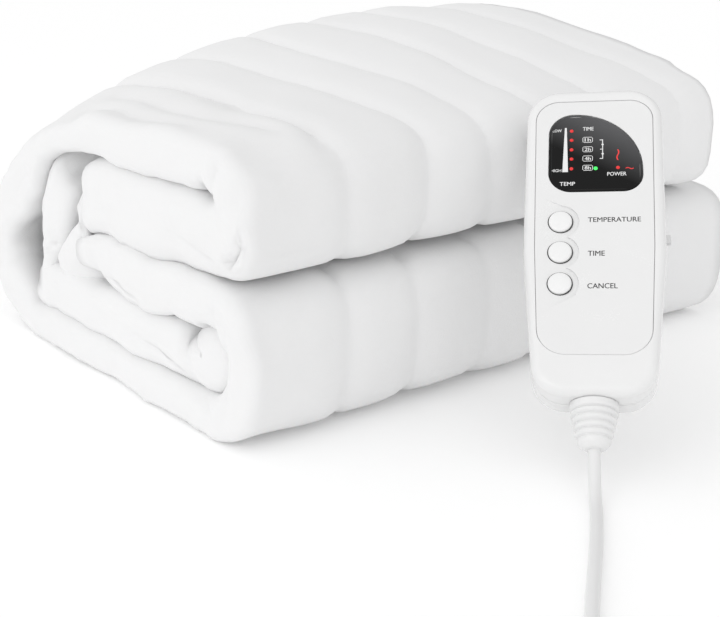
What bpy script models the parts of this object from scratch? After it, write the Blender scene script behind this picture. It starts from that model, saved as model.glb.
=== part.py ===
"""Massage table warmer: a fleece heating pad folded into a loose bundle, with its wired hand controller
leaning on the front, and the controller's mains lead with its put-away coil and plug.

Metres, +Z up. The origin is on the surface that the bundle stands on, under the middle of the bundle.
The bundle's closed fold is its -X end, its hems are at +X, and its front is towards -Y.
"""
import math

import bmesh
import bpy
from mathutils import Matrix, Vector

MM = 0.001
GAP = 0.3                       # mm between pieces that touch

# ---------------------------------------------------------------- the pad, in mm
# One cloth, folded in half across its width, then rolled and folded along its length.
CLOTH = 6.5                     # thickness of the fleece
FOLD_X = -195.0                 # outer end of the closed half-fold
HEM_X = 161.0                   # the furthest hem, at the open end
FOLD_DEPTH = 11.0               # how far the half-fold's round end may stand out
FLARE = 34.0                    # the stretch before the half-fold where the two plies spread
MID_Y = 130.0                   # y of the bundle's middle in the table below
TOP_Z = 150.0                   # height of the bundle's flat top before it is lifted
FRONT_RISE, BACK_RISE = 8.0, 41.0       # how far the top is lifted, along the front and along the back
RISE_LONG, RISE_BEND = 280.0, 1.3       # it grows from the fold end over this length, slowly at first
RISE_FRONT, RISE_WIDE = 5.0, 200.0      # and from the front over this width
BACK_DROP = 33.0                # how far the top sinks at the back of the fold end
DROP_LONG = 100.0               # over this length from the fold end
DROP_FRONT, DROP_WIDE = 130.0, 110.0    # and from the middle to the back

# Straight layers of the folded section, from the outer free end inwards: where each starts and ends,
# the thickness of its two plies together, how much further its inner ply spreads at the half-fold,
# how far its half-fold is drawn back, and how far its hems are.
LAYERS = (
    dict(name="first lower", y0=150, z0=70.5, y1=26, z1=70.5, thick=18.5, spread=14.0, back=0, hem=4),
    dict(name="bottom", y0=26, z0=10.5, y1=215, z1=10.5, thick=21.0, spread=1.5, back=0, hem=2),
    dict(name="top", y0=185, z0=138.7, y1=22, z1=139.0, thick=15.0, spread=13.5, back=0, hem=14),
    dict(name="return", y0=22, z0=97.5, y1=150, z1=97.0, thick=31.0, spread=0.0, back=0, hem=16),
    dict(name="second lower", y0=146, z0=50.5, y1=42, z1=50.5, thick=14.5, spread=0.0, back=24, hem=12),
    dict(name="third lower", y0=42, z0=32.5, y1=200, z1=32.5, thick=18.0, spread=0.0, back=4, hem=6),
    dict(name="second top", y0=180, z0=123.5, y1=12, z1=124.0, thick=13.5, spread=0.0, back=28, hem=20),
)
# The turns between them: side (-1 is the front), and for the outer and the inner ply how far the turn
# reaches past the layers' ends and how square it is (2 is an ellipse).
TURNS = (
    dict(side=-1, reach_out=41.5, square_out=3.0, reach_in=26.0, square_in=2.6, spread=4.0, back=0, hem=0),
    dict(side=1, reach_out=71.0, square_out=2.3, reach_in=62.5, square_in=2.3, spread=14.0, back=0, hem=6),
    dict(side=-1, reach_out=38.5, square_out=2.8, reach_in=23.0, square_in=2.4, spread=2.0, back=0, hem=22),
    dict(side=1, reach_out=15.0, square_out=2.0, reach_in=55.0, square_in=2.0, spread=0.0, back=8, hem=14),
    dict(side=-1, reach_out=32.0, square_out=2.2, reach_in=18.0, square_in=2.0, spread=0.0, back=10, hem=8),
    dict(side=1, reach_out=64.0, square_out=2.2, reach_in=56.5, square_in=2.2, spread=0.0, back=26, hem=14),
)
LAYER_STEPS = 5
TURN_STEPS = 12
PLY_STEPS = 4                   # along a ply, from its hem to where it flares
FLARE_STEPS = 2
FOLD_STEPS = 6

# ---------------------------------------------------------------- the controller, in mm
# Its own axes: x to the right, y up its length from the middle of its bottom end, z out of its face.
BODY_LENGTH = 165.0
BODY_THICK = 26.0
EDGE_ROUND = 4.5
NEARLY_STRAIGHT = 100.0         # a corner's radius past which it takes few points
BODY_CORNERS = ((27.2, 0.0, 14.5), (33.2, 72.0, 500.0), (32.6, BODY_LENGTH, 16.5))
PLATE_CORNERS = ((25.4, 18.9, 12.5), (27.6, 75.0, 400.0), (28.3, 157.2, 11.5))
PLATE_THICK = 1.6
WINDOW_CORNERS = ((-21.6, 104.5, 10.9), (22.9, 104.5, 9.3), (22.9, 149.1, 32.4), (-21.6, 149.1, 11.8))
WINDOW_SUNK = 0.2
BUTTON_X = -15.7
BUTTON_Y = dict(temperature_button=87.9, time_button=71.4, cancel_button=54.8)
BUTTON_R = 5.5
BUTTON_PROUD = 1.4
BUTTON_BURIED = 3.0
BUTTON_TRAVEL = 1.0
SWITCH_Y = 84.6
SWITCH_LONG, SWITCH_WIDE, SWITCH_PROUD = 4.2, 3.0, 2.6
SWITCH_TRAVEL = 5.0
SLOT_DEEP = 3.0
# The boot's turned outline from the housing down: radius and depth of each ring and groove.
BOOT_TURNS = (
    (11.0, 0.3), (11.0, 3.4), (9.5, 3.9),
    (10.8, 4.8), (10.6, 6.0), (8.9, 6.8),
    (10.2, 7.9), (9.9, 9.2), (8.2, 10.0),
    (9.4, 11.1), (9.1, 12.4), (7.5, 13.2),
    (8.7, 14.2), (8.4, 15.5), (6.9, 16.2),
    (7.6, 17.2), (7.1, 19.2), (5.4, 21.0), (3.6, 21.8),
)
BOOT_LONG = 21.8
CONTROLLER_AT = (-0.0810, -0.2526, 0.0335)      # the middle of its bottom end, in metres
HEADING, LEAN, ROLL = -52.6, 46.2, 4.6          # degrees: seen from above, up from flat, in its own plane

# ---------------------------------------------------------------- the lead, in metres
CORD_D = 0.0056
CURVE_STEPS = 12                # between two points of a route, before its points are spaced evenly
COIL_MIDDLE = (-0.2672, -0.3665)
COIL_R = 0.0308                 # to the middle of its turns
COIL_RINGS, COIL_LAYERS = 3, 4
# From the boot's tip, bending on to the surface and running forward to the coil's lowest turn.
LEAD_ROUTE = (
    (-0.0920, -0.2633, 0.0176),
    (-0.0959, -0.2671, 0.0120),
    (-0.1004, -0.2715, 0.0070),
    (-0.1057, -0.2766, 0.0039),
    (-0.1114, -0.2821, 0.0029),
    (-0.1240, -0.2930, 0.0028),
    (-0.1400, -0.3062, 0.0028),
    (-0.1566, -0.3194, 0.0028),
    (-0.1733, -0.3329, 0.0028),
    (-0.1884, -0.3460, 0.0028),
    (-0.2072, -0.3625, 0.0028),
    (-0.2185, -0.3722, 0.0028),
    (-0.2271, -0.3797, 0.0028),
)
# From the coil's highest turn down to the plug, which lies beside it.
TAIL_ROUTE = (
    (-0.3068, -0.3813, 0.0136),
    (-0.3119, -0.3772, 0.0110),
    (-0.3173, -0.3728, 0.0088),
    (-0.3228, -0.3684, 0.0080),
    (-0.3288, -0.3635, 0.0080),
)
PLUG_Z = 0.0080
# In mm, from the cord towards the blades: the relief's outline as (radius, distance), the body and the blades.
PLUG_RELIEF = (
    (0, GAP), (3.8, GAP), (4.2, 5), (3.6, 6), (4.7, 7), (4.9, 11), (4.2, 12), (5.4, 13), (5.6, 17),
    (4.9, 18), (6.3, 19), (6.8, 24), (0, 24),
)
PLUG_BODY = (28, 24, 15.4)
PLUG_BODY_AT = 24.3             # where the body starts
BLADE = (17, 1.5, 6.4)
BLADE_AT = 52.6
BLADE_SIDE = 6.35               # from the plug's middle to a blade's

# ---------------------------------------------------------------- colours
WHITE_FLEECE = (0.86, 0.86, 0.86)
WHITE_PLASTIC = (0.80, 0.80, 0.80)
BUTTON_PLASTIC = (0.84, 0.84, 0.84)
DARK_GLASS = (0.012, 0.012, 0.013)
CORD_WHITE = (0.78, 0.78, 0.78)
NICKEL = (0.62, 0.60, 0.56)


def clear_scene():
    for obj in list(bpy.data.objects):
        bpy.data.objects.remove(obj)


def new_collection(name):
    collection = bpy.data.collections.new(name)
    bpy.context.scene.collection.children.link(collection)
    return collection


def new_material(name, colour, roughness, metallic=0.0):
    material = bpy.data.materials.new(name)
    material.use_nodes = True
    shader = material.node_tree.nodes["Principled BSDF"]
    shader.inputs["Base Color"].default_value = (*colour, 1.0)
    shader.inputs["Roughness"].default_value = roughness
    shader.inputs["Metallic"].default_value = metallic
    return material


def new_empty(name, matrix):
    empty = bpy.data.objects.new(name, None)
    empty.matrix_world = matrix
    parts.objects.link(empty)
    return empty


def add_mesh(name, mesh, material, parent=None, at=(0, 0, 0), turn=(0, 0, 0), group=None):
    """An object for this mesh; at is in mm when it has a parent's axes, in metres otherwise."""
    obj = bpy.data.objects.new(name, mesh)
    (group or parts).objects.link(obj)
    if material:
        mesh.materials.clear()
        mesh.materials.append(material)
    scale = MM if parent else 1.0
    obj.parent = parent
    obj.location = Vector(at) * scale
    obj.rotation_euler = turn
    return obj


def smooth(obj, degrees=35):
    obj.data.shade_smooth()
    obj.data.set_sharp_from_angle(angle=math.radians(degrees))


# ---------------------------------------------------------------- outlines and slabs
def fillet(before, corner, after, radius, steps):
    """The arc that rounds one corner of an outline."""
    into = (Vector(before) - Vector(corner)).normalized()
    out = (Vector(after) - Vector(corner)).normalized()
    half = into.angle(out) / 2
    reach = radius / math.tan(half)
    middle = Vector(corner) + (into + out).normalized() * radius / math.sin(half)
    start = Vector(corner) + into * reach - middle
    sweep = (Vector(corner) + out * reach - middle).angle_signed(start)
    return [middle + Matrix.Rotation(sweep * i / steps, 2) @ start for i in range(steps + 1)]


def rounded(corners, steps=6):
    """An outline from its corners, each (x, y, radius), as a list of points in mm."""
    points = []
    for i, (x, y, radius) in enumerate(corners):
        before, after = corners[i - 1][:2], corners[(i + 1) % len(corners)][:2]
        fine = steps if radius < NEARLY_STRAIGHT else 2
        points += fillet(before, (x, y), after, radius, fine)
    return points


def symmetric(right_side):
    """The corners of a mirror-symmetric outline from those of its right side, bottom to top."""
    return tuple(right_side) + tuple((-x, y, r) for x, y, r in reversed(right_side))


def grown(points, distance):
    """The outline moved outwards by a distance in mm."""
    result = []
    for i, point in enumerate(points):
        along = (points[(i + 1) % len(points)] - points[i - 1]).normalized()
        result.append(point + Vector((along.y, -along.x)) * distance)
    return result


def slab_mesh(name, outline, low, high):
    """A flat outline between two heights, in mm, as a clean closed mesh in metres."""
    curve = bpy.data.curves.new(name, "CURVE")
    curve.dimensions = "2D"
    curve.fill_mode = "BOTH"
    curve.extrude = (high - low) / 2 * MM
    spline = curve.splines.new("POLY")
    spline.points.add(len(outline) - 1)
    for point, target in zip(outline, spline.points):
        target.co = (point.x * MM, point.y * MM, 0, 1)
    spline.use_cyclic_u = True
    obj = bpy.data.objects.new(name, curve)
    bpy.context.scene.collection.objects.link(obj)
    mesh = evaluated_mesh(obj)
    bpy.data.objects.remove(obj)
    bm = bmesh.new()
    bm.from_mesh(mesh)
    bmesh.ops.remove_doubles(bm, verts=bm.verts, dist=1e-6)
    bmesh.ops.dissolve_limit(bm, angle_limit=0.001, verts=bm.verts, edges=bm.edges)
    bmesh.ops.translate(bm, verts=bm.verts, vec=(0, 0, (low + high) / 2 * MM))
    bmesh.ops.recalc_face_normals(bm, faces=bm.faces)
    bm.to_mesh(mesh)
    bm.free()
    return mesh


def evaluated_mesh(obj):
    graph = bpy.context.evaluated_depsgraph_get()
    return bpy.data.meshes.new_from_object(obj.evaluated_get(graph))


def round_rim(mesh, height, width, segments=3):
    """Bevels the rim at one height of a slab, both in mm."""
    bm = bmesh.new()
    bm.from_mesh(mesh)
    rim = [e for e in bm.edges if all(abs(v.co.z - height * MM) < 1e-6 for v in e.verts)]
    bmesh.ops.bevel(bm, geom=rim, offset=width * MM, segments=segments, profile=0.5, affect="EDGES")
    bm.to_mesh(mesh)
    bm.free()


def box_mesh(name, size, middle=(0, 0, 0), round_by=0.0):
    """A box from its size and middle in mm, with every edge bevelled."""
    bm = bmesh.new()
    bmesh.ops.create_cube(bm, size=1.0)
    bmesh.ops.scale(bm, vec=Vector(size) * MM, verts=bm.verts)
    bmesh.ops.translate(bm, vec=Vector(middle) * MM, verts=bm.verts)
    if round_by:
        bmesh.ops.bevel(bm, geom=bm.edges[:], offset=round_by * MM, segments=2, profile=0.5, affect="EDGES")
    mesh = bpy.data.meshes.new(name)
    bm.to_mesh(mesh)
    bm.free()
    return mesh


def turned(name, profile, material, steps=28, **place):
    """A solid turned about its own z from a profile of (radius, height) in mm, top to bottom."""
    mesh = bpy.data.meshes.new(name)
    points = [(r * MM, 0, z * MM) for r, z in profile]
    mesh.from_pydata(points, [(i, i + 1) for i in range(len(points) - 1)], [])
    obj = add_mesh(name, mesh, material, **place)
    screw = obj.modifiers.new("turn", "SCREW")
    screw.steps = screw.render_steps = steps
    screw.use_merge_vertices = True
    screw.merge_threshold = 1e-6
    screw.use_smooth_shade = True
    return obj


def cut(obj, cutter):
    cutter.hide_render = True
    cutter.display_type = "WIRE"
    boolean = obj.modifiers.new("cut", "BOOLEAN")
    boolean.operation = "DIFFERENCE"
    boolean.solver = "EXACT"
    boolean.object = cutter


# ---------------------------------------------------------------- the pad
def half_turn(start, end, side, reach, square, share):
    """A point of a rounded turn between two ends, share 0 to 1, from a superellipse."""
    angle = (share - 0.5) * math.pi
    out, along = math.cos(angle), math.sin(angle)
    rise = (math.copysign(abs(along) ** (2 / square), along) + 1) / 2
    base = start.x + (end.x - start.x) * (along + 1) / 2
    return Vector((base + side * reach * abs(out) ** (2 / square), start.y + (end.y - start.y) * rise))


def layer_ends(layer):
    """The outer ply's and the inner ply's two ends in one straight layer."""
    start, end = Vector((layer["y0"], layer["z0"])), Vector((layer["y1"], layer["z1"]))
    outward = Vector((0, math.copysign((layer["thick"] - CLOTH) / 2, start.x - end.x)))
    return (start + outward, end + outward), (start - outward, end - outward)


def section():
    """Stations along the folded section: the outer ply's point, the inner's, spread, back and hem."""
    stations = []
    for i, layer in enumerate(LAYERS):
        outer, inner = layer_ends(layer)
        for k in range(LAYER_STEPS):
            share = k / (LAYER_STEPS - 1)
            points = outer[0].lerp(outer[1], share), inner[0].lerp(inner[1], share)
            stations.append((*points, layer["spread"], layer["back"], layer["hem"]))
        if i == len(TURNS):
            break
        turn, after = TURNS[i], LAYERS[i + 1]
        outer_next, inner_next = layer_ends(after)
        for k in range(1, TURN_STEPS):
            share = k / TURN_STEPS
            apex = math.sin(math.pi * share)
            out = half_turn(outer[1], outer_next[0], turn["side"], turn["reach_out"], turn["square_out"], share)
            into = half_turn(inner[1], inner_next[0], turn["side"], turn["reach_in"], turn["square_in"], share)
            blend = [
                (layer[key] + (after[key] - layer[key]) * share) * (1 - apex) + turn[key] * apex
                for key in ("spread", "back", "hem")
            ]
            stations.append((out, into, *blend))
    return stations


def settle(x, y, z):
    """The bundle's uneven lie: flat below, crowned at the front, rising to the back of its hem end."""
    along = min(max((x - FOLD_X) / RISE_LONG, 0), 1)
    rise = math.sin(math.pi / 2 * along) ** RISE_BEND
    across = min(max((y - RISE_FRONT) / RISE_WIDE, 0), 1)
    lift = rise * (FRONT_RISE + (BACK_RISE - FRONT_RISE) * math.sin(math.pi / 2 * across))
    end = max(0, 1 - (x - FOLD_X) / DROP_LONG) ** 2
    lift -= BACK_DROP * end * min(max((y - DROP_FRONT) / DROP_WIDE, 0), 1)
    height = min(max(z / TOP_Z, 0), 1)
    return Vector((x, y - MID_Y, z + lift * height * height * (3 - 2 * height))) * MM


def ply_ring(outer, inner, spread, back, hem):
    """One cross row of the cloth: hem to half-fold on the outer ply and back on the inner one."""
    across = (inner - outer).normalized()
    far = inner + across * spread
    half = (far - outer).length / 2
    depth = min(half, FOLD_DEPTH)
    fold_start = FOLD_X + back + depth
    flare_start = fold_start + FLARE
    hem_x = HEM_X - hem
    xs = [hem_x + (flare_start - hem_x) * k / PLY_STEPS for k in range(PLY_STEPS + 1)]
    xs += [flare_start - FLARE * k / FLARE_STEPS for k in range(1, FLARE_STEPS + 1)]
    shares = [max(0.0, (flare_start - x) / FLARE) for x in xs]
    inner_row = [inner + across * spread * s * s * (3 - 2 * s) for s in shares]
    points = [(x, outer) for x in xs]
    for k in range(1, FOLD_STEPS):
        angle = math.pi * k / FOLD_STEPS
        middle = (outer + far) / 2 + (outer - far) / 2 * math.cos(angle)
        points.append((fold_start - depth * math.sin(angle), middle))
    points += [(x, p) for x, p in reversed(list(zip(xs, inner_row)))]
    return [settle(x, p.x, p.y) for x, p in points]


def make_pad(material):
    """The flat cloth as a grid, laid into its folds and thickened."""
    rows = [ply_ring(*station) for station in section()]
    bm = bmesh.new()
    bmesh.ops.create_grid(bm, x_segments=len(rows[0]) - 1, y_segments=len(rows) - 1, size=1.0)
    bm.verts.ensure_lookup_table()
    for index, vert in enumerate(sorted(bm.verts, key=lambda v: (round(v.co.y, 6), v.co.x))):
        vert.co = rows[index // len(rows[0])][index % len(rows[0])]
    mesh = bpy.data.meshes.new("pad")
    bm.to_mesh(mesh)
    bm.free()
    pad = add_mesh("pad", mesh, material)
    mesh.shade_smooth()
    wall = pad.modifiers.new("fleece", "SOLIDIFY")
    wall.thickness = CLOTH * MM
    wall.offset = 0
    return pad


# ---------------------------------------------------------------- the controller
def controller_matrix():
    heading, lean, roll = (math.radians(a) for a in (HEADING, LEAN, ROLL))
    turn = Matrix.Rotation(heading, 4, "Z") @ Matrix.Rotation(lean, 4, "X") @ Matrix.Rotation(roll, 4, "Z")
    return Matrix.Translation(CONTROLLER_AT) @ turn


def make_shells(body, material):
    """The two halves of the housing, with the seat for the face plate, button wells and switch slot."""
    outline = rounded(symmetric(BODY_CORNERS))
    half = BODY_THICK / 2
    front_mesh = slab_mesh("front_shell", outline, GAP / 2, half)
    round_rim(front_mesh, half, EDGE_ROUND)
    back_mesh = slab_mesh("back_shell", outline, -half, -GAP / 2)
    round_rim(back_mesh, -half, EDGE_ROUND)
    front = add_mesh("front_shell", front_mesh, material, parent=body)
    back = add_mesh("back_shell", back_mesh, material, parent=body)
    smooth(front)
    smooth(back)

    seat = grown(rounded(symmetric(PLATE_CORNERS)), GAP)
    seat_mesh = slab_mesh("plate_seat", seat, half - PLATE_THICK, half + 1)
    cut(front, add_mesh("plate_seat", seat_mesh, None, parent=body, group=cutters))
    floor = half - PLATE_THICK - BUTTON_BURIED - BUTTON_TRAVEL - GAP
    for name, y in BUTTON_Y.items():
        profile = ((0, half), (BUTTON_R + GAP, half), (BUTTON_R + GAP, floor), (0, floor))
        well = turned(name + "_well", profile, None, parent=body, at=(BUTTON_X, y, 0), group=cutters)
        cut(front, well)
    long = SWITCH_LONG + SWITCH_TRAVEL + 2 * GAP
    middle = (BODY_CORNERS[1][0], SWITCH_Y - SWITCH_TRAVEL / 2, 0)
    slot_mesh = box_mesh("switch_slot", (2 * SLOT_DEEP, long, SWITCH_WIDE + 2 * GAP), middle)
    slot = add_mesh("switch_slot", slot_mesh, None, parent=body, group=cutters)
    cut(front, slot)
    cut(back, slot)


def make_face(body, plate_material, window_material):
    """The face plate with its openings, and the display window in it."""
    top = BODY_THICK / 2
    low = top - PLATE_THICK + GAP
    plate_mesh = slab_mesh("face_plate", rounded(symmetric(PLATE_CORNERS)), low, top)
    plate = add_mesh("face_plate", plate_mesh, plate_material, parent=body)
    smooth(plate)
    window_outline = rounded(WINDOW_CORNERS, steps=10)
    opening_mesh = slab_mesh("window_opening", grown(window_outline, GAP), low - 1, top + 1)
    cut(plate, add_mesh("window_opening", opening_mesh, None, parent=body, group=cutters))
    for name, y in BUTTON_Y.items():
        profile = ((0, top + 1), (BUTTON_R + GAP, top + 1), (BUTTON_R + GAP, low - 1), (0, low - 1))
        hole = turned(name + "_hole", profile, None, parent=body, at=(BUTTON_X, y, 0), group=cutters)
        cut(plate, hole)
    window_mesh = slab_mesh("display_window", window_outline, low, top - WINDOW_SUNK)
    window = add_mesh("display_window", window_mesh, window_material, parent=body)
    smooth(window)


def make_buttons(body, material):
    """Three domed push buttons, each with its origin on its slide's axis."""
    top = BODY_THICK / 2
    crown = (
        (0, BUTTON_PROUD),
        (BUTTON_R * 0.45, BUTTON_PROUD - 0.1),
        (BUTTON_R * 0.8, BUTTON_PROUD - 0.4),
        (BUTTON_R, BUTTON_PROUD - 1.0),
        (BUTTON_R, -PLATE_THICK - BUTTON_BURIED),
        (0, -PLATE_THICK - BUTTON_BURIED),
    )
    for name, y in BUTTON_Y.items():
        turned(name, crown, material, parent=body, at=(BUTTON_X, y, top))


def make_switch(body, material):
    """The slide switch's knob in the right side wall."""
    side = BODY_CORNERS[1][0] - SLOT_DEEP + GAP
    wide = SLOT_DEEP - GAP + SWITCH_PROUD
    mesh = box_mesh("power_switch", (wide, SWITCH_LONG, SWITCH_WIDE), round_by=0.4)
    add_mesh("power_switch", mesh, material, parent=body, at=(side + wide / 2, SWITCH_Y, 0))


def make_boot(body, material):
    """The ribbed cord boot under the housing."""
    profile = [(0, -GAP)] + [(r, -depth) for r, depth in BOOT_TURNS] + [(0, -BOOT_LONG)]
    turned("cord_boot", profile, material, steps=20, parent=body, turn=(-math.pi / 2, 0, 0))


# ---------------------------------------------------------------- the lead
def through(points, spacing):
    """Points at an even spacing on a smooth curve through the route's own points."""
    knots = [Vector(p) for p in points]
    ends = [2 * knots[0] - knots[1]] + knots + [2 * knots[-1] - knots[-2]]
    fine = []
    for a, b, c, d in zip(ends, ends[1:], ends[2:], ends[3:]):
        for k in range(CURVE_STEPS):
            t = k / CURVE_STEPS
            fine.append(0.5 * (2 * b + (c - a) * t + (2 * a - 5 * b + 4 * c - d) * t**2
                               + (3 * b - a - 3 * c + d) * t**3))
    fine.append(knots[-1])
    result, walked = [fine[0]], 0.0
    for a, b in zip(fine, fine[1:]):
        walked += (b - a).length
        if walked >= spacing:
            result.append(b)
            walked = 0.0
    if walked < spacing / 2 and len(result) > 2:
        result.pop()
    return result + [fine[-1]]


def make_tube(name, route, material):
    curve = bpy.data.curves.new(name, "CURVE")
    curve.dimensions = "3D"
    curve.bevel_depth = CORD_D / 2
    curve.bevel_resolution = 2
    curve.use_fill_caps = True
    points = through(route, 2.2 * CORD_D)
    spline = curve.splines.new("POLY")
    spline.points.add(len(points) - 1)
    for point, target in zip(points, spline.points):
        target.co = (*point, 1)
    obj = bpy.data.objects.new(name, curve)
    curve.materials.append(material)
    parts.objects.link(obj)


def make_coil(material):
    """The put-away length: one turned ring round all its turns."""
    wide = COIL_RINGS * CORD_D / 2
    inner, outer = (COIL_R - wide) / MM, (COIL_R + wide) / MM
    high = COIL_LAYERS * CORD_D / MM
    rim = CORD_D / 2 / MM * 0.6
    profile = (
        (inner, rim), (inner, high - rim), (inner + rim, high),
        (outer - rim, high), (outer, high - rim), (outer, rim), (outer - rim, 0), (inner + rim, 0), (inner, rim),
    )
    turned("cord_coil", profile, material, steps=36, at=(*COIL_MIDDLE, 0))


def make_plug(rubber, metal):
    """A two-blade mains plug lying beside the coil: its own x runs from the cord to the blades."""
    end, before = Vector(TAIL_ROUTE[-1]), Vector(TAIL_ROUTE[-2])
    along = (end - before).xy.normalized()
    frame = Matrix.Translation((end.x, end.y, PLUG_Z)) @ Matrix.Rotation(math.atan2(along.y, along.x), 4, "Z")
    plug = new_empty("plug_axes", frame)
    turned("plug_relief", PLUG_RELIEF[::-1], rubber, steps=20, parent=plug, turn=(0, math.pi / 2, 0))
    body_mesh = box_mesh("plug_body", PLUG_BODY, (PLUG_BODY_AT + PLUG_BODY[0] / 2, 0, 0), round_by=3.0)
    add_mesh("plug_body", body_mesh, rubber, parent=plug)
    for side, name in ((-1, "plug_blade_left"), (1, "plug_blade_right")):
        middle = (BLADE_AT + BLADE[0] / 2, side * BLADE_SIDE, 0)
        add_mesh(name, box_mesh(name, BLADE, middle, round_by=0.4), metal, parent=plug)


# ---------------------------------------------------------------- the object
clear_scene()
parts = new_collection("massage_table_warmer")
cutters = new_collection("cutters")
fleece = new_material("fleece", WHITE_FLEECE, 0.95)
housing = new_material("housing", WHITE_PLASTIC, 0.25)
button = new_material("button", BUTTON_PLASTIC, 0.3)
glass = new_material("display", DARK_GLASS, 0.06)
sheath = new_material("sheath", CORD_WHITE, 0.4)
blades = new_material("blades", NICKEL, 0.25, metallic=1.0)

make_pad(fleece)
controller = new_empty("controller_axes", controller_matrix())
make_shells(controller, housing)
make_face(controller, housing, glass)
make_buttons(controller, button)
make_switch(controller, housing)
make_boot(controller, sheath)
make_tube("cord_lead", LEAD_ROUTE, sheath)
make_coil(sheath)
make_tube("cord_tail", TAIL_ROUTE, sheath)
make_plug(sheath, blades)
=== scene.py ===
import math

import bmesh
import bpy
import numpy as np
from mathutils import Matrix, Vector, noise


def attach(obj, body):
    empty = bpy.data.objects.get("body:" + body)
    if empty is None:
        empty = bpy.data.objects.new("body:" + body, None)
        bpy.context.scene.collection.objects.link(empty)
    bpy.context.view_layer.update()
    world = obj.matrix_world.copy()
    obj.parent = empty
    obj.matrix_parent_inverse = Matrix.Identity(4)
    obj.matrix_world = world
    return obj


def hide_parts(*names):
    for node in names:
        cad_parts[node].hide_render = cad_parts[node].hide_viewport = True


# The looks of a massage table warmer: a white fleece heating pad in a loose bundle, its hand controller
# leaning on it, and the controller's mains lead with its coil and plug. The scene is in metres, +Z up, in the
# part's frame; sizes are in mm where a section says so.

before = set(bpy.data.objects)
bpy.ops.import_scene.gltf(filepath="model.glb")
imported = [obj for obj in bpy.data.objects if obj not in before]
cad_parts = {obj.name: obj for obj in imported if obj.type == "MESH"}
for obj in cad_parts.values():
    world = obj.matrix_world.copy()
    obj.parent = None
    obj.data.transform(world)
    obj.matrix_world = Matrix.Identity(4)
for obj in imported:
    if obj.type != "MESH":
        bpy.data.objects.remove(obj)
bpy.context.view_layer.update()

MM = 0.001
FAR = 1e3                       # mm: further than anything here
TINY = 1e-9


def table(columns, *rows):
    """A table's rows, each a dict under the named columns."""
    return [dict(zip(columns.split(), row)) for row in rows]


# ---------------------------------------------------------------- camera, stage and light
CAMERA_AT = (-0.47755, -0.57581, 0.23772)
CAMERA_DOWN, CAMERA_TURN = 17.6, -38.95         # degrees below level, and round from the y axis
LIGHTS = table(
    "name at target energy size",
    ("key", (-1.7, -0.35, 0.75), (0, 0, 0.08), 1.0, 0.8),
    ("top", (-0.2, 0.9, 1.6), (0, 0, 0.05), 0.2, 1.0),
    ("fill", (0.5, -1.7, 0.7), (0, 0, 0.08), 0.5, 1.2),
)
ROOM_LIGHT, LESS_RIGHT, LESS_BACK, MORE_ABOVE = 0.912, 0.355, 0.03, 0.04


def place_camera():
    """The camera, low down off the bundle's front left corner."""
    data = bpy.data.cameras.new("view")
    data.lens = 60
    data.sensor_width = 36
    data.clip_start = 0.01
    camera = bpy.data.objects.new("view", data)
    bpy.context.scene.collection.objects.link(camera)
    camera.location = CAMERA_AT
    camera.rotation_euler = (math.radians(90 - CAMERA_DOWN), 0, math.radians(CAMERA_TURN))
    bpy.context.scene.camera = camera


def add_light(name, at, target, energy, size):
    """A round area light that faces a point."""
    data = bpy.data.lights.new(name, "AREA")
    data.shape = "DISK"
    data.energy = energy
    data.size = size
    light = bpy.data.objects.new(name, data)
    bpy.context.scene.collection.objects.link(light)
    light.location = at
    light.rotation_euler = (Vector(target) - Vector(at)).to_track_quat("-Z", "Y").to_euler()


def soft_room():
    """Even white light all round, fuller from the left and overhead and weaker from the right."""
    world = bpy.data.worlds.new("studio")
    bpy.context.scene.world = world
    world.use_nodes = True
    tree = world.node_tree
    towards = tree.nodes.new("ShaderNodeTexCoord").outputs["Generated"]
    split = tree.nodes.new("ShaderNodeSeparateXYZ")
    tree.links.new(towards, split.inputs[0])
    x, y, z = (Wire(tree, socket) for socket in split.outputs)
    strength = ROOM_LIGHT - LESS_RIGHT * x - LESS_BACK * y + MORE_ABOVE * z
    feed(tree, tree.nodes["Background"].inputs["Strength"], strength)
    feed(tree, tree.nodes["Background"].inputs["Color"], (1, 1, 1, 1))


def set_stage():
    """The floor that everything stands on, and the light."""
    deselect()
    bpy.ops.mesh.primitive_plane_add(size=60, location=(0, 0, 0))
    floor = bpy.context.object
    floor.name = "floor"
    floor.data.materials.append(pale_floor())
    soft_room()
    bpy.context.scene.view_settings.view_transform = "Standard"
    for light in LIGHTS:
        add_light(**light)


# ---------------------------------------------------------------- shader maths
def feed(tree, socket, value):
    """Sets a socket to a value, or links it when the value is a wire."""
    if isinstance(value, Wire):
        tree.links.new(value.socket, socket)
    elif value is not None:
        socket.default_value = value


class Wire:
    """A node socket that can be added, subtracted and multiplied like a number."""

    def __init__(self, tree, socket):
        self.tree = tree
        self.socket = socket

    def _math(self, operation, a, b):
        node = self.tree.nodes.new("ShaderNodeMath")
        node.operation = operation
        feed(self.tree, node.inputs[0], a)
        feed(self.tree, node.inputs[1], b)
        return Wire(self.tree, node.outputs[0])

    def __add__(self, other):
        return self._math("ADD", self, other)

    def __radd__(self, other):
        return self._math("ADD", other, self)

    def __sub__(self, other):
        return self._math("SUBTRACT", self, other)

    def __rsub__(self, other):
        return self._math("SUBTRACT", other, self)

    def __mul__(self, other):
        return self._math("MULTIPLY", self, other)

    def __rmul__(self, other):
        return self._math("MULTIPLY", other, self)

    def clamped(self):
        return self._math("MAXIMUM", self._math("MINIMUM", self, 1.0), 0.0)


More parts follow.
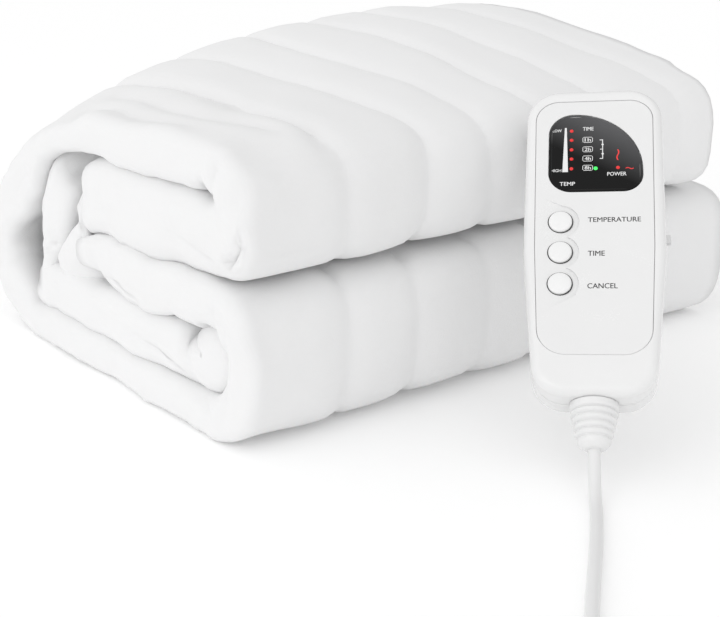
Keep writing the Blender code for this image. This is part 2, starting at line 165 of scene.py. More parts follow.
class Finish:
    """A material under construction: one Principled shader and what feeds it."""

    def __init__(self, name, colour, roughness, **constants):
        self.material = bpy.data.materials.new(name)
        self.material.use_nodes = True
        self.tree = self.material.node_tree
        self.shader = self.tree.nodes["Principled BSDF"]
        self.set("Base Color", (*colour, 1))
        self.set("Roughness", roughness)
        for key, value in constants.items():
            self.set(key.replace("_", " "), value)

    def set(self, socket, value):
        feed(self.tree, self.shader.inputs[socket], value)

    def node(self, kind, settings=None, output=0, **inputs):
        """Any node: its settings first, then its sockets' values or links. i6 is the socket numbered 6."""
        node = self.tree.nodes.new(kind)
        for key, value in (settings or {}).items():
            setattr(node, key, value)
        for key, value in inputs.items():
            numbered = key[0] == "i" and key[1:].isdigit()
            feed(self.tree, node.inputs[int(key[1:]) if numbered else key], value)
        return Wire(self.tree, node.outputs[output])

    def place(self):
        return self.node("ShaderNodeTexCoord", output="Object")

    def noise(self, where, scale, detail=3.0, rough=0.5):
        return self.node("ShaderNodeTexNoise", Vector=where, Scale=scale, Detail=detail, Roughness=rough)

    def mix(self, share, a, b):
        return self.node("ShaderNodeMix", {"data_type": "RGBA"}, 2, Factor=share, i6=a, i7=b)

    def bump(self, height, strength, distance):
        self.set("Normal", self.node("ShaderNodeBump", Height=height, Strength=strength, Distance=distance))


def pale_floor():
    """A matt pale floor that glows a little, so that it stays white."""
    floor = Finish("pale_floor", (0.97, 0.97, 0.97), 0.9, Emission_Strength=0.085)
    floor.set("Emission Color", (1, 1, 1, 1))
    floor.set("Specular IOR Level", 0.0)
    return floor.material


def white_fleece():
    """Brushed white fleece: fine nap over soft tufts, its white slightly uneven."""
    cloth = Finish("white_fleece", (0.81, 0.81, 0.81), 0.95, Sheen_Weight=0.2, Sheen_Roughness=0.6)
    where = cloth.place()
    nap = cloth.noise(where, 900.0, 4.0, 0.65)
    tufts = cloth.noise(where, 230.0, 3.0, 0.6)
    clouds = cloth.noise(where, 26.0, 2.0, 0.5)
    tone = (tufts - 0.5) * 0.10 + (clouds - 0.5) * 0.10 + 0.5
    cloth.set("Base Color", cloth.mix(tone.clamped(), (0.78, 0.78, 0.785, 1), (0.845, 0.845, 0.845, 1)))
    cloth.set("Roughness", 0.9 + (nap - 0.5) * 0.1)
    cloth.bump(nap * 0.5 + tufts * 0.5, 0.35, 0.0006)
    return cloth.material


def moulded_white(name, colour=(0.80, 0.80, 0.80), roughness=0.22):
    """Glossy moulded plastic with a faint ripple from the tool and fine handling marks."""
    plastic = Finish(name, colour, roughness, Coat_Weight=0.25, Coat_Roughness=0.12)
    where = plastic.place()
    ripple = plastic.noise(where, 60.0, 2.0, 0.4)
    grain = plastic.noise(where, 1600.0, 2.0, 0.5)
    plastic.set("Roughness", roughness + (ripple - 0.5) * 0.08 + (grain - 0.5) * 0.05)
    low = tuple(c * 0.985 for c in colour) + (1,)
    high = tuple(min(1, c * 1.01) for c in colour) + (1,)
    plastic.set("Base Color", plastic.mix(ripple, low, high))
    plastic.bump(ripple * 0.7 + grain * 0.3, 0.06, 0.0002)
    return plastic.material


def painted_reflection_finish(name, dark, light, roughness):
    """Polished acrylic with a painted reflection: its colour turns from the dark one to the light one towards
    its upper right corner.
    """
    (low_x, low_y), (high_x, high_y) = REFLECTION_FROM, REFLECTION_TO
    glass = Finish(name, dark, roughness)
    glass.set("Specular IOR Level", 0.18)
    where = glass.place()
    haze = glass.noise(where, 40.0, 2.0, 0.5)
    glass.set("Roughness", roughness - 0.02 + haze * 0.05)
    # Painted reflection: the base colour lightens towards the controller's upper right, with a little haze.
    turn = controller_place()
    up = (turn.col[1].xyz * REFLECTION_ALONG + turn.col[0].xyz * REFLECTION_ASIDE).normalized()
    low = (turn @ (Vector((low_x, low_y, FACE)) * MM)).dot(up)
    high = (turn @ (Vector((high_x, high_y, FACE)) * MM)).dot(up)
    along = glass.node("ShaderNodeVectorMath", {"operation": "DOT_PRODUCT"}, 1, i0=where, i1=tuple(up))
    share = ((along - low) * (1 / (high - low)) + (haze - 0.5) * 0.1).clamped()
    glass.set("Base Color", glass.mix(share, (*dark, 1), (*light, 1)))
    return glass.material


def printed(name, colour):
    """Screen-printed ink with slightly uneven cover."""
    ink = Finish(name, colour, 0.5)
    cover = ink.noise(ink.place(), 1500.0, 3.0, 0.6)
    dim = tuple(c * 0.9 for c in colour) + (1,)
    ink.set("Base Color", ink.mix(cover, dim, (*colour, 1)))
    ink.set("Roughness", 0.4 + cover * 0.2)
    return ink.material


def lamp(name, colour, strength):
    """A lit indicator behind the window, its glow slightly uneven."""
    glow = Finish(name, colour, 0.3, Emission_Strength=strength)
    cover = glow.noise(glow.place(), 700.0, 2.0, 0.5)
    dim = tuple(c * 0.8 for c in colour) + (1,)
    glow.set("Base Color", glow.mix(cover, dim, (*colour, 1)))
    glow.set("Emission Color", glow.mix(cover, dim, (*colour, 1)))
    return glow.material


def white_sheath():
    """Soft white PVC with a faint grain."""
    sheath = Finish("white_sheath", (0.79, 0.79, 0.79), 0.38)
    where = sheath.place()
    grain = sheath.noise(where, 500.0, 3.0, 0.6)
    cloud = sheath.noise(where, 45.0, 2.0, 0.5)
    sheath.set("Roughness", 0.34 + grain * 0.12)
    sheath.set("Base Color", sheath.mix(cloud, (0.77, 0.77, 0.77, 1), (0.81, 0.81, 0.81, 1)))
    sheath.bump(grain, 0.12, 0.0002)
    return sheath.material


def plated_blade():
    """Nickel-plated brass with fine wear."""
    metal = Finish("plated_blade", (0.62, 0.60, 0.56), 0.25, Metallic=1.0)
    where = metal.place()
    wear = metal.noise(where, 420.0, 4.0, 0.65)
    metal.set("Roughness", 0.18 + wear * 0.18)
    metal.set("Base Color", metal.mix(wear, (0.56, 0.54, 0.50, 1), (0.68, 0.66, 0.62, 1)))
    metal.bump(wear, 0.08, 0.0001)
    return metal.material


# ---------------------------------------------------------------- modelling helpers
def deselect():
    """Leaves nothing selected, out of edit mode."""
    if bpy.context.mode != "OBJECT":
        bpy.ops.object.mode_set(mode="OBJECT")
    bpy.ops.object.select_all(action="DESELECT")


def pick(obj):
    """Makes one object the active and only selected one."""
    deselect()
    obj.select_set(True)
    bpy.context.view_layer.objects.active = obj


def edit(obj, faces=None, edges=None, verts=None):
    """Enters edit mode with only the faces, edges or vertices that a test on them accepts selected."""
    pick(obj)
    bpy.ops.object.mode_set(mode="EDIT")
    bpy.ops.mesh.select_mode(type="FACE" if faces else "EDGE" if edges else "VERT")
    bpy.ops.mesh.select_all(action="DESELECT")
    mesh = bmesh.from_edit_mesh(obj.data)
    for group, test in ((mesh.faces, faces), (mesh.edges, edges), (mesh.verts, verts)):
        if test:
            for item in group:
                if test(item):
                    item.select_set(True)
    mesh.select_flush_mode()
    bmesh.update_edit_mesh(obj.data)


def leave():
    """Back to object mode after edit."""
    bpy.ops.object.mode_set(mode="OBJECT")


def apply_modifier(obj, kind, **settings):
    """Adds a modifier with its settings and applies it."""
    pick(obj)
    modifier = obj.modifiers.new("m", kind)
    for key, value in settings.items():
        setattr(modifier, key, value)
    bpy.ops.object.modifier_apply(modifier=modifier.name)


def settle_in(obj, name, matrix, material, body, node=None, degrees=35):
    """Names a finished piece, bakes its place into its mesh, gives it its finish and its body, and hides
    the CAD node that it stands for."""
    obj.name = obj.data.name = name
    obj.matrix_world = matrix @ obj.matrix_world
    pick(obj)
    bpy.ops.object.transform_apply(location=True, rotation=True, scale=True)
    obj.data.materials.clear()
    obj.data.materials.append(material)
    if degrees:
        bpy.ops.object.shade_smooth_by_angle(angle=math.radians(degrees))
        apply_modifier(obj, "WEIGHTED_NORMAL", keep_sharp=True)
    else:
        bpy.ops.object.shade_smooth()
    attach(obj, body)
    if node:
        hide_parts(node)
    return obj


def combine(obj, other, operation="DIFFERENCE"):
    """Cuts another object out of one, or joins the two, and removes the other."""
    apply_modifier(obj, "BOOLEAN", operation=operation, solver="EXACT", object=other)
    bpy.data.objects.remove(other)


def ease_edges(obj, width, segments):
    """Rounds every sharp edge, by a width in mm."""
    apply_modifier(obj, "BEVEL", width=width * MM, segments=segments, limit_method="ANGLE",
                   angle_limit=math.radians(40))


def move(obj, x, y, z):
    """Moves a piece by mm, in its mesh."""
    obj.location = (x * MM, y * MM, z * MM)
    pick(obj)
    bpy.ops.object.transform_apply(location=True)


def smooth(share):
    """A share kept within 0 and 1 and eased at both ends; one number or many."""
    share = np.clip(share, 0, 1)
    return share * share * (3 - 2 * share)


# ---------------------------------------------------------------- the lead, in metres
CORD_D = 0.0056
COIL_MIDDLE = Vector((-0.2672, -0.3665))
COIL_R = 0.0308                 # the middle ring's
COIL_RINGS, COIL_LAYERS = 3, 4
COIL_ENTRY, COIL_EXIT = (0.657, -0.754), (-0.6287, -0.7776)    # directions from the coil's middle
TURN_POINTS = 24
CURVE_STEPS = 12
LEAD_STEP = 0.0035
INTO_BOOT = 0.0015              # how far the lead starts inside the boot's end
LEAD_ROUTE = (
    (-0.0920, -0.2633, 0.0176),
    (-0.0959, -0.2671, 0.0120),
    (-0.1004, -0.2715, 0.0070),
    (-0.1057, -0.2766, 0.0039),
    (-0.1114, -0.2821, 0.0029),
    (-0.1240, -0.2930, 0.0028),
    (-0.1400, -0.3062, 0.0028),
    (-0.1566, -0.3194, 0.0028),
    (-0.1733, -0.3329, 0.0028),
    (-0.1884, -0.3460, 0.0028),
    (-0.2072, -0.3625, 0.0028),
    (-0.2185, -0.3722, 0.0028),
    (-0.2271, -0.3797, 0.0028),
)
TAIL_ROUTE = (
    (-0.3068, -0.3813, 0.0136),
    (-0.3119, -0.3772, 0.0110),
    (-0.3173, -0.3728, 0.0088),
    (-0.3228, -0.3684, 0.0080),
    (-0.3288, -0.3635, 0.0080),
)


def coil_turns():
    """The coil's centreline: rings from the outside in and back, layer on layer, with half a turn between."""
    enter, leave_at = (math.atan2(y, x) for x, y in (COIL_ENTRY, COIL_EXIT))
    turns = COIL_RINGS * COIL_LAYERS - 1 + (enter - leave_at) / (2 * math.pi)
    order = []
    for layer in range(COIL_LAYERS):
        rings = range(COIL_RINGS) if layer % 2 == 0 else reversed(range(COIL_RINGS))
        order += [((COIL_RINGS - 1) / 2 - ring, layer) for ring in rings]
    points = []
    steps = round(turns * TURN_POINTS)
    for k in range(steps + 1):
        done = turns * k / steps
        boundary = round(done)
        before = order[min(max(boundary - 1, 0), len(order) - 1)]
        after = order[min(boundary, len(order) - 1)]
        blend = smooth((done - boundary) * 2 + 0.5) if boundary else 1.0
        ring = before[0] + (after[0] - before[0]) * blend
        layer = before[1] + (after[1] - before[1]) * blend
        angle = enter - 2 * math.pi * done
        radius = COIL_R + ring * CORD_D
        points.append((COIL_MIDDLE.x + radius * math.cos(angle), COIL_MIDDLE.y + radius * math.sin(angle),
                       CORD_D * (0.5 + layer)))
    return points


def through(points, spacing):
    """Points at about an even spacing on a smooth curve through a route's own points."""
    knots = [Vector(p) for p in points]
    ends = [2 * knots[0] - knots[1]] + knots + [2 * knots[-1] - knots[-2]]
    fine = []
    for a, b, c, d in zip(ends, ends[1:], ends[2:], ends[3:]):
        for k in range(CURVE_STEPS):
            t = k / CURVE_STEPS
            fine.append(0.5 * (2 * b + (c - a) * t + (2 * a - 5 * b + 4 * c - d) * t**2
                               + (3 * b - a - 3 * c + d) * t**3))
    fine.append(knots[-1])
    result, walked = [fine[0]], 0.0
    for a, b in zip(fine, fine[1:]):
        walked += (b - a).length
        if walked >= spacing:
            result.append(b)
            walked = 0.0
    result[-1] = fine[-1]
    return result


def make_lead(material):
    """The mains lead as one round cord, from inside the boot through the coil to the plug."""
    boot_tip = Vector(LEAD_ROUTE[0])
    inside = boot_tip + (boot_tip - Vector(LEAD_ROUTE[1])).normalized() * INTO_BOOT
    route = [inside] + list(LEAD_ROUTE[1:]) + coil_turns() + list(TAIL_ROUTE)
    points = through(route, LEAD_STEP)
    curve = bpy.data.curves.new("mains_lead", "CURVE")
    curve.dimensions = "3D"
    curve.bevel_depth = CORD_D / 2
    curve.bevel_resolution = 4
    curve.use_fill_caps = True
    spline = curve.splines.new("POLY")
    spline.points.add(len(points) - 1)
    for point, target in zip(points, spline.points):
        target.co = (*point, 1)
    spline.use_smooth = True
    curve.materials.append(material)
    lead = bpy.data.objects.new("mains_lead", curve)
    bpy.context.scene.collection.objects.link(lead)
    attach(lead, "root")
    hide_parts("cord_lead", "cord_coil", "cord_tail")
    return lead, boot_tip


CORNER_EASE = 0.42              # share of the shorter side that a profile's eased corner takes up


def turned_piece(profile, sides):
    """A turned solid about z, in mm: a disc extruded and resized from ring to ring up its profile."""
    (radius, height), rest = profile[0], profile[1:]
    deselect()
    bpy.ops.mesh.primitive_circle_add(vertices=sides, radius=radius * MM, fill_type="NGON")
    obj = bpy.context.object
    edit(obj, verts=lambda v: True)
    bpy.ops.transform.translate(value=(0, 0, height * MM))
    for new_radius, new_height in rest:
        bpy.ops.mesh.extrude_region_move(
            TRANSFORM_OT_translate={"value": (0, 0, (new_height - height) * MM)})
        ratio = new_radius / radius
        bpy.ops.transform.resize(value=(ratio, ratio, 1))
        radius, height = new_radius, new_height
    bpy.ops.mesh.select_all(action="SELECT")
    bpy.ops.mesh.normals_make_consistent(inside=False)
    leave()
    return obj


def rounded_profile(rings, steps=3):
    """A turned profile whose corners are eased: each corner is replaced by a short curve."""
    points = [Vector(p) for p in rings]
    result = [points[0]]
    for before, corner, after in zip(points, points[1:], points[2:]):
        ease = min((before - corner).length, (after - corner).length) * CORNER_EASE
        start = corner + (before - corner).normalized() * ease
        end = corner + (after - corner).normalized() * ease
        for k in range(steps + 1):
            t = k / steps
            result.append(start * (1 - t) ** 2 + corner * 2 * t * (1 - t) + end * t * t)
    return [tuple(p) for p in result + [points[-1]]]


# Radius and distance from the cord's end, in mm, of the plug's ribbed relief.
PLUG_PROFILE = ((2.9, 0.3), (3.9, 0.3), (4.2, 5), (3.5, 6), (4.7, 7), (4.9, 11), (4.1, 12), (5.4, 13),
                (5.6, 17), (4.8, 18), (6.3, 19), (6.8, 24))
GRIP = (24.3, 52.3, -12, 12, -7.7, 7.7)         # the plug's box: x, y and z ranges in mm
GRIP_TAPER, BLADE_TAPER = (1, 0.78, 0.9), (1, 0.55, 0.8)        # sizes of the narrow end, as shares
END_RIM, SIDE_RIM = 2.6, 4.2                    # flat rims inside its edges
BLADE_X, BLADE_AT = (52.6, 69.6), 6.35          # a blade's reach, and how far it stands off the middle
BLADE_THICK, BLADE_TALL = 1.5, 6.4
BLADE_HOLE_X, BLADE_HOLE_R = 65.6, 1.6
TIE_WIDE, TIE_THICK, TIE_ROOM, TIE_BEARING = 6.0, 1.2, 0.5, 90.0        # mm, and degrees round the coil


def make_plug(sheath, metal):
    """The two-blade plug on the lead's end: its ribbed relief, its grip and its blades."""
    end, before = Vector(TAIL_ROUTE[-1]), Vector(TAIL_ROUTE[-2])
    along = (end - before).xy.normalized()
    place = Matrix.Translation(end) @ Matrix.Rotation(math.atan2(along.y, along.x), 4, "Z")
    upright = Matrix.Rotation(math.pi / 2, 4, "Y")
    relief = turned_piece(rounded_profile(PLUG_PROFILE), 32)
    settle_in(relief, "plug_strain_relief", place @ upright, sheath, "root", "plug_relief")

    grip = block(*GRIP)
    edit(grip, faces=lambda f: f.normal.x < -0.9)
    bpy.ops.transform.resize(value=GRIP_TAPER)
    edit(grip, faces=lambda f: f.normal.x > 0.9)
    bpy.ops.mesh.inset(thickness=END_RIM * MM)
    edit(grip, faces=lambda f: abs(f.normal.z) > 0.9)
    bpy.ops.mesh.inset(thickness=SIDE_RIM * MM)
    leave()
    ease_edges(grip, 2.2, 5)
    settle_in(grip, "plug_grip", place, sheath, "root", "plug_body")

    blades = []
    for side, name in ((-1, "left"), (1, "right")):
        y = side * BLADE_AT
        blade = block(*BLADE_X, y - BLADE_THICK / 2, y + BLADE_THICK / 2, -BLADE_TALL / 2, BLADE_TALL / 2)
        edit(blade, faces=lambda f: f.normal.x > 0.9)
        bpy.ops.transform.resize(value=BLADE_TAPER)
        leave()
        deselect()
        bpy.ops.mesh.primitive_cylinder_add(vertices=24, radius=BLADE_HOLE_R * MM, depth=6 * MM,
                                            location=(BLADE_HOLE_X * MM, y * MM, 0),
                                            rotation=(math.pi / 2, 0, 0))
        combine(blade, bpy.context.object)
        ease_edges(blade, 0.25, 2)
        settle_in(blade, "contact_blade_" + name, place, metal, "root", "plug_blade_" + name)
        blades.append(blade)
    return [relief, grip, *blades]


def make_tie(material):
    """The strap that keeps the coil's turns together, its underside open to what the coil lies on."""
    middle = COIL_R / MM
    half = COIL_RINGS * CORD_D / 2 / MM + TIE_ROOM
    high = COIL_LAYERS * CORD_D / MM + TIE_ROOM
    outer = middle - half - TIE_THICK, middle + half + TIE_THICK
    tie = block(*outer, -TIE_WIDE / 2, TIE_WIDE / 2, TIE_ROOM / 2, high + TIE_THICK)
    combine(tie, block(middle - half, middle + half, -TIE_WIDE, TIE_WIDE, -1, high))
    ease_edges(tie, 0.35, 2)
    place = Matrix.Translation((*COIL_MIDDLE, 0)) @ Matrix.Rotation(math.radians(TIE_BEARING), 4, "Z")
    return settle_in(tie, "coil_tie", place, material, "root")


# ---------------------------------------------------------------- the pad
# Its sizes are in mm: x from the half-fold to the hems, y from the front to the back, z up. The cloth's two
# plies meet at the half-fold: the outer one starts on top of the first layer, the inner one below it.
CLOTH = 6.5
FOLD_X, HEM_X = -195.0, 161.0
FOLD_DEPTH, FLARE = 6.0, 34.0           # the half-fold's round end, and how far behind it its bulge fades out
MID_Y = 130.0                           # the y here that lies over the part's own zero
TOP_Z = 150.0                           # cloth at this height or above takes up the whole rise below
FRONT_RISE, BACK_RISE = 8.0, 41.0       # how far the top rises at the front and at the back
RISE_LONG, RISE_BEND = 280.0, 1.3       # over what length from the half-fold, and how late
RISE_FRONT, RISE_WIDE = 5.0, 200.0      # where it starts to grow towards the back, and over what width
BACK_DROP, DROP_LONG = 33.0, 100.0      # how far the fold end sinks at its back, and over what length
DROP_FRONT, DROP_WIDE = 130.0, 110.0    # where that starts, and over what width
# The folded section's layers: where each starts and ends, how thick its two plies lie, the inner ply's own
# bulge at its start and end, and how far it stops short of the half-fold and of the hems.
LAYERS = table(
    "y0 z0 y1 z1 thick fill back hem",
    (150, 70.5, 26, 70.5, 18.5, (0, 8), 0, 4),          # first lower
    (26, 10.5, 215, 10.5, 21.0, (0, 0), 0, 2),          # bottom
    (185, 138.7, 22, 139.0, 15.0, (0, 0), 0, 14),       # top
    (22, 97.5, 146, 97.0, 31.0, (0, 0), 1, 16),         # return
    (142, 50.5, 42, 50.5, 14.5, (0, 0), 30, 12),        # second lower
    (42, 32.5, 210, 32.5, 18.0, (11, 15), 2, 6),        # third lower
    (176, 123.5, 12, 124.0, 13.5, (0, 0), 30, 20),      # second top
)
# The turns between them: -1 at the front and 1 at the back, how far each ply reaches past its layers, how
# square its bend is before and after the middle, and the same three as above. A late one starts flat.
TURNS = table(
    "side reach_out square_out reach_in square_in fill back hem late",
    (-1, 41.5, (4.4, 3.0), 26.0, (2.6, 2.6), 4, 0, 0, False),
    (1, 71.0, (2.3, 2.3), 62.5, (2.3, 2.3), 37, 0, 6, False),
    (-1, 38.5, (2.8, 4.4), 23.0, (2.4, 2.4), 9, 0, 22, False),
    (1, 10.0, (2.0, 2.0), 46.0, (2.4, 2.4), 0, 2, 14, True),
    (-1, 34.0, (3.2, 3.2), 18.0, (2.0, 2.0), 4, 4, 8, False),
    (1, 4.0, (2.2, 2.2), -7.0, (2.2, 2.2), 1, 3, 14, False),
)
LATE_FROM, LATE_OVER = 0.40, 0.28       # the share of a late turn that it starts to bend at, and bends over
LAYER_STEPS, TURN_STEPS = 30, 60
FILL_SPEED, FILL_DELAY = 2.4, 1.2       # a layer's own bulge changes over the second half of its length
ROWS = 250                      # stations along the folded section
LAYER_SHARE = 0.55              # how sparse the stations are on a flat layer, against a turn
WIRE_LINES = (108, 48, 2, -45, -89, -136)       # x of the channels that the heating wire runs in
WANDERS = ((3.0, 61, 1.9), (1.6, 23, 4.1))      # a channel's swings: how far, how long, and each line's shift
LINE_OFFSETS = (-8.5, -4.6, -2.4, -1.0, 0.0, 1.0, 2.4, 4.6, 8.5)        # columns across a channel
BETWEEN_LINES, HEM_STEPS, FOLD_SIDE_STEPS, FOLD_STEPS = 3, 4, 15, 20
TURN_SETTLES = 0.2              # how soon a turn leaves its layers' setback for its own: smaller is sooner
FILL_SETTLES = 2.6              # and how much later it takes up its own fill
WIDE_END, ROUNDER = 12.0, 0.6   # a half-fold wider than this each way stands out by this share of the rest
HIDDEN_BACK = 20.0              # a layer set back further than this is closed over by its neighbours
# A ply bulges at the half-fold by up to the limit, or by the open puff where its neighbour is further off
# than this many limits.
PUFF_LIMIT, OPEN_PUFF, OPEN_FROM = 12.0, 2.0, 2.2
TOUCH, FLUSH_TOUCH = -1.2, -4.5         # the gap left between layers at the half-fold: they press together
FOLD_SQUARE, FLUSH_SQUARE = 3.6, 8.0    # how square the half-fold's round end is
LESS_SQUARE, LESS_UP_TO = 0.09, 15      # and how much rounder for each mm of extra width
OWN_NEAR, OWN_NEXT = 0.5, 2     # nearer than this, or the next stations, is a ply itself and not a neighbour
EASING = (1, 2, 3, 4, 3, 2, 1)  # a bulge is averaged over the stations either side with these weights
ARC_FINE = 80                   # steps that the half-fold's round end is measured in
LOOSE = 12.0                    # cloth with less than this free before it keeps flat, so layers don't cross
FLUSH_AT, FLUSH_REACH = (98, 78), (44, 24)      # y and z of the part of the end where layers lie flush


def half_turn(start, end, turn, ply, share):
    """A ply's bend from one layer into the next, at a share of the way round."""
    angle = (share - 0.5) * math.pi
    out, along = math.cos(angle), math.sin(angle)
    square = turn["square_" + ply][share > 0.5]
    reach = turn["reach_" + ply]
    if turn["late"]:
        reach *= smooth((share - LATE_FROM) / LATE_OVER)
    rise = (math.copysign(abs(along) ** (2 / square), along) + 1) / 2
    base = start[0] + (end[0] - start[0]) * (along + 1) / 2
    out_to = turn["side"] * reach * abs(out) ** (2 / square)
    return np.array((base + out_to, start[1] + (end[1] - start[1]) * rise))


def layer_ends(layer):
    """The start and end of a layer's outer ply, and of its inner one."""
    start, end = np.array((layer["y0"], layer["z0"])), np.array((layer["y1"], layer["z1"]))
    outward = np.array((0, math.copysign((layer["thick"] - CLOTH) / 2, start[0] - end[0])))
    return (start + outward, end + outward), (start - outward, end - outward)


def section_rows():
    """Stations along the folded section, closer at the turns: outer ply y z, inner y z, fill, back, hem."""
    fine, weight = [], []
    for i, layer in enumerate(LAYERS):
        outer, inner = layer_ends(layer)
        first, last = layer["fill"]
        for k in range(LAYER_STEPS + 1):
            share = k / LAYER_STEPS
            filled = first + (last - first) * smooth(share * FILL_SPEED - FILL_DELAY)
            own = (filled, layer["back"], layer["hem"])
            fine.append(np.concatenate((outer[0] + (outer[1] - outer[0]) * share,
                                        inner[0] + (inner[1] - inner[0]) * share, own)))
            weight.append(LAYER_SHARE)
        if i == len(TURNS):
            break
        turn, after = TURNS[i], LAYERS[i + 1]
        outer_next, inner_next = layer_ends(after)
        for k in range(1, TURN_STEPS):
            share = k / TURN_STEPS
            apex = math.sin(math.pi * share) ** TURN_SETTLES
            out = half_turn(outer[1], outer_next[0], turn, "out", share)
            into = half_turn(inner[1], inner_next[0], turn, "in", share)
            ends = ((last, after["fill"][0]), (layer["back"], after["back"]), (layer["hem"], after["hem"]))
            mixes = apex ** FILL_SETTLES, apex, apex
            mixed = [(a + (b - a) * share) * (1 - mix) + turn[key] * mix
                     for (a, b), key, mix in zip(ends, ("fill", "back", "hem"), mixes)]
            fine.append(np.concatenate((out, into, mixed)))
            weight.append(1.0)
    fine, weight = np.array(fine), np.array(weight)
    step = np.linalg.norm(np.diff((fine[:, 0:2] + fine[:, 2:4]) / 2, axis=0), axis=1)
    count = np.concatenate(([0], np.cumsum(step * (weight[1:] + weight[:-1]) / 2)))
    even = np.linspace(0, count[-1], ROWS)
    rows = np.stack([np.interp(even, count, fine[:, k]) for k in range(fine.shape[1])], 1)
    run = np.interp(even, count, np.concatenate(([0], np.cumsum(step))))
    return rows, run


def clear_ahead(start, heading, plies, own, shown):
    """How far a ply can move before it meets another shown stretch of cloth, station by station."""
    clear = np.full(len(start), FAR)
    index = np.arange(len(start) - 1)
    for which, ply in enumerate(plies):
        a, edge = ply[:-1], np.diff(ply, axis=0)
        for i in range(len(start)):
            d = heading[i]
            cross = d[0] * edge[:, 1] - d[1] * edge[:, 0]
            cross = np.where(np.abs(cross) < TINY, TINY, cross)
            gap = a - start[i]
            t = (gap[:, 0] * edge[:, 1] - gap[:, 1] * edge[:, 0]) / cross
            u = (gap[:, 0] * d[1] - gap[:, 1] * d[0]) / cross
            hit = (t > OWN_NEAR) & (u >= 0) & (u <= 1) & shown[:-1]
            if which == own:
                hit &= np.abs(index - i) > OWN_NEXT
            if hit.any():
                clear[i] = min(clear[i], t[hit].min())
    return clear


def puff(clear, touch):
    """How far a ply bulges at the half-fold: up to its neighbour, or a little if nothing is near."""
    room = (clear - CLOTH - touch) / 2
    bulge = np.where(room > OPEN_FROM * PUFF_LIMIT, OPEN_PUFF, np.clip(room, 0, PUFF_LIMIT))
    bulge = np.where(clear == FAR, 0.0, bulge)
    padded = np.pad(bulge, 2, mode="edge")
    lowest = np.min([padded[k:k + len(bulge)] for k in range(5)], axis=0)
    padded = np.pad(lowest, len(EASING) // 2, mode="edge")
    return sum(w * padded[k:k + len(bulge)] for k, w in enumerate(EASING)) / sum(EASING)


def line_wander(run):
    """Each wire channel's own wandering course along the cloth, as its x at every station."""
    courses = []
    for k, course in enumerate(WIRE_LINES):
        for swing, long, shift in WANDERS:
            course = course + swing * np.sin(run / long + k * shift)
        courses.append(course)
    return courses


def ply_stations(hem_x, fold_start, lines):
    """x of the columns of one ply: close on the wire channels, wider between them."""
    groups = [[line - offset for offset in LINE_OFFSETS] for line in lines]
    columns = [hem_x + (groups[0][0] - hem_x) * k / HEM_STEPS for k in range(HEM_STEPS)]
    for k, group in enumerate(groups):
        columns += group
        if k + 1 < len(groups):
            end = groups[k + 1][0]
            columns += [group[-1] + (end - group[-1]) * (j + 1) / (BETWEEN_LINES + 1)
                        for j in range(BETWEEN_LINES)]
    last = columns[-1]
    columns += [last + (fold_start - last) * (k + 1) / FOLD_SIDE_STEPS for k in range(FOLD_SIDE_STEPS)]
    return np.stack(columns, 1)


def even_arc(depth, half, square):
    """The half-fold's round end, evenly stepped along its length: how far out and how far over, as shares."""
    angle = np.linspace(0, np.pi, ARC_FINE)[None]
    out = np.abs(np.sin(angle)) ** (2 / square)
    over = np.sign(np.cos(angle)) * np.abs(np.cos(angle)) ** (2 / square)
    step = np.hypot(np.diff(depth * out, axis=1), np.diff(half * over, axis=1))
    walked = np.pad(np.cumsum(step, axis=1), ((0, 0), (1, 0)))
    shares = np.linspace(0, 1, FOLD_STEPS + 1)[1:-1]
    return (np.stack([np.interp(shares * w[-1], w, value) for w, value in zip(walked, values)])
            for values in (out, over))


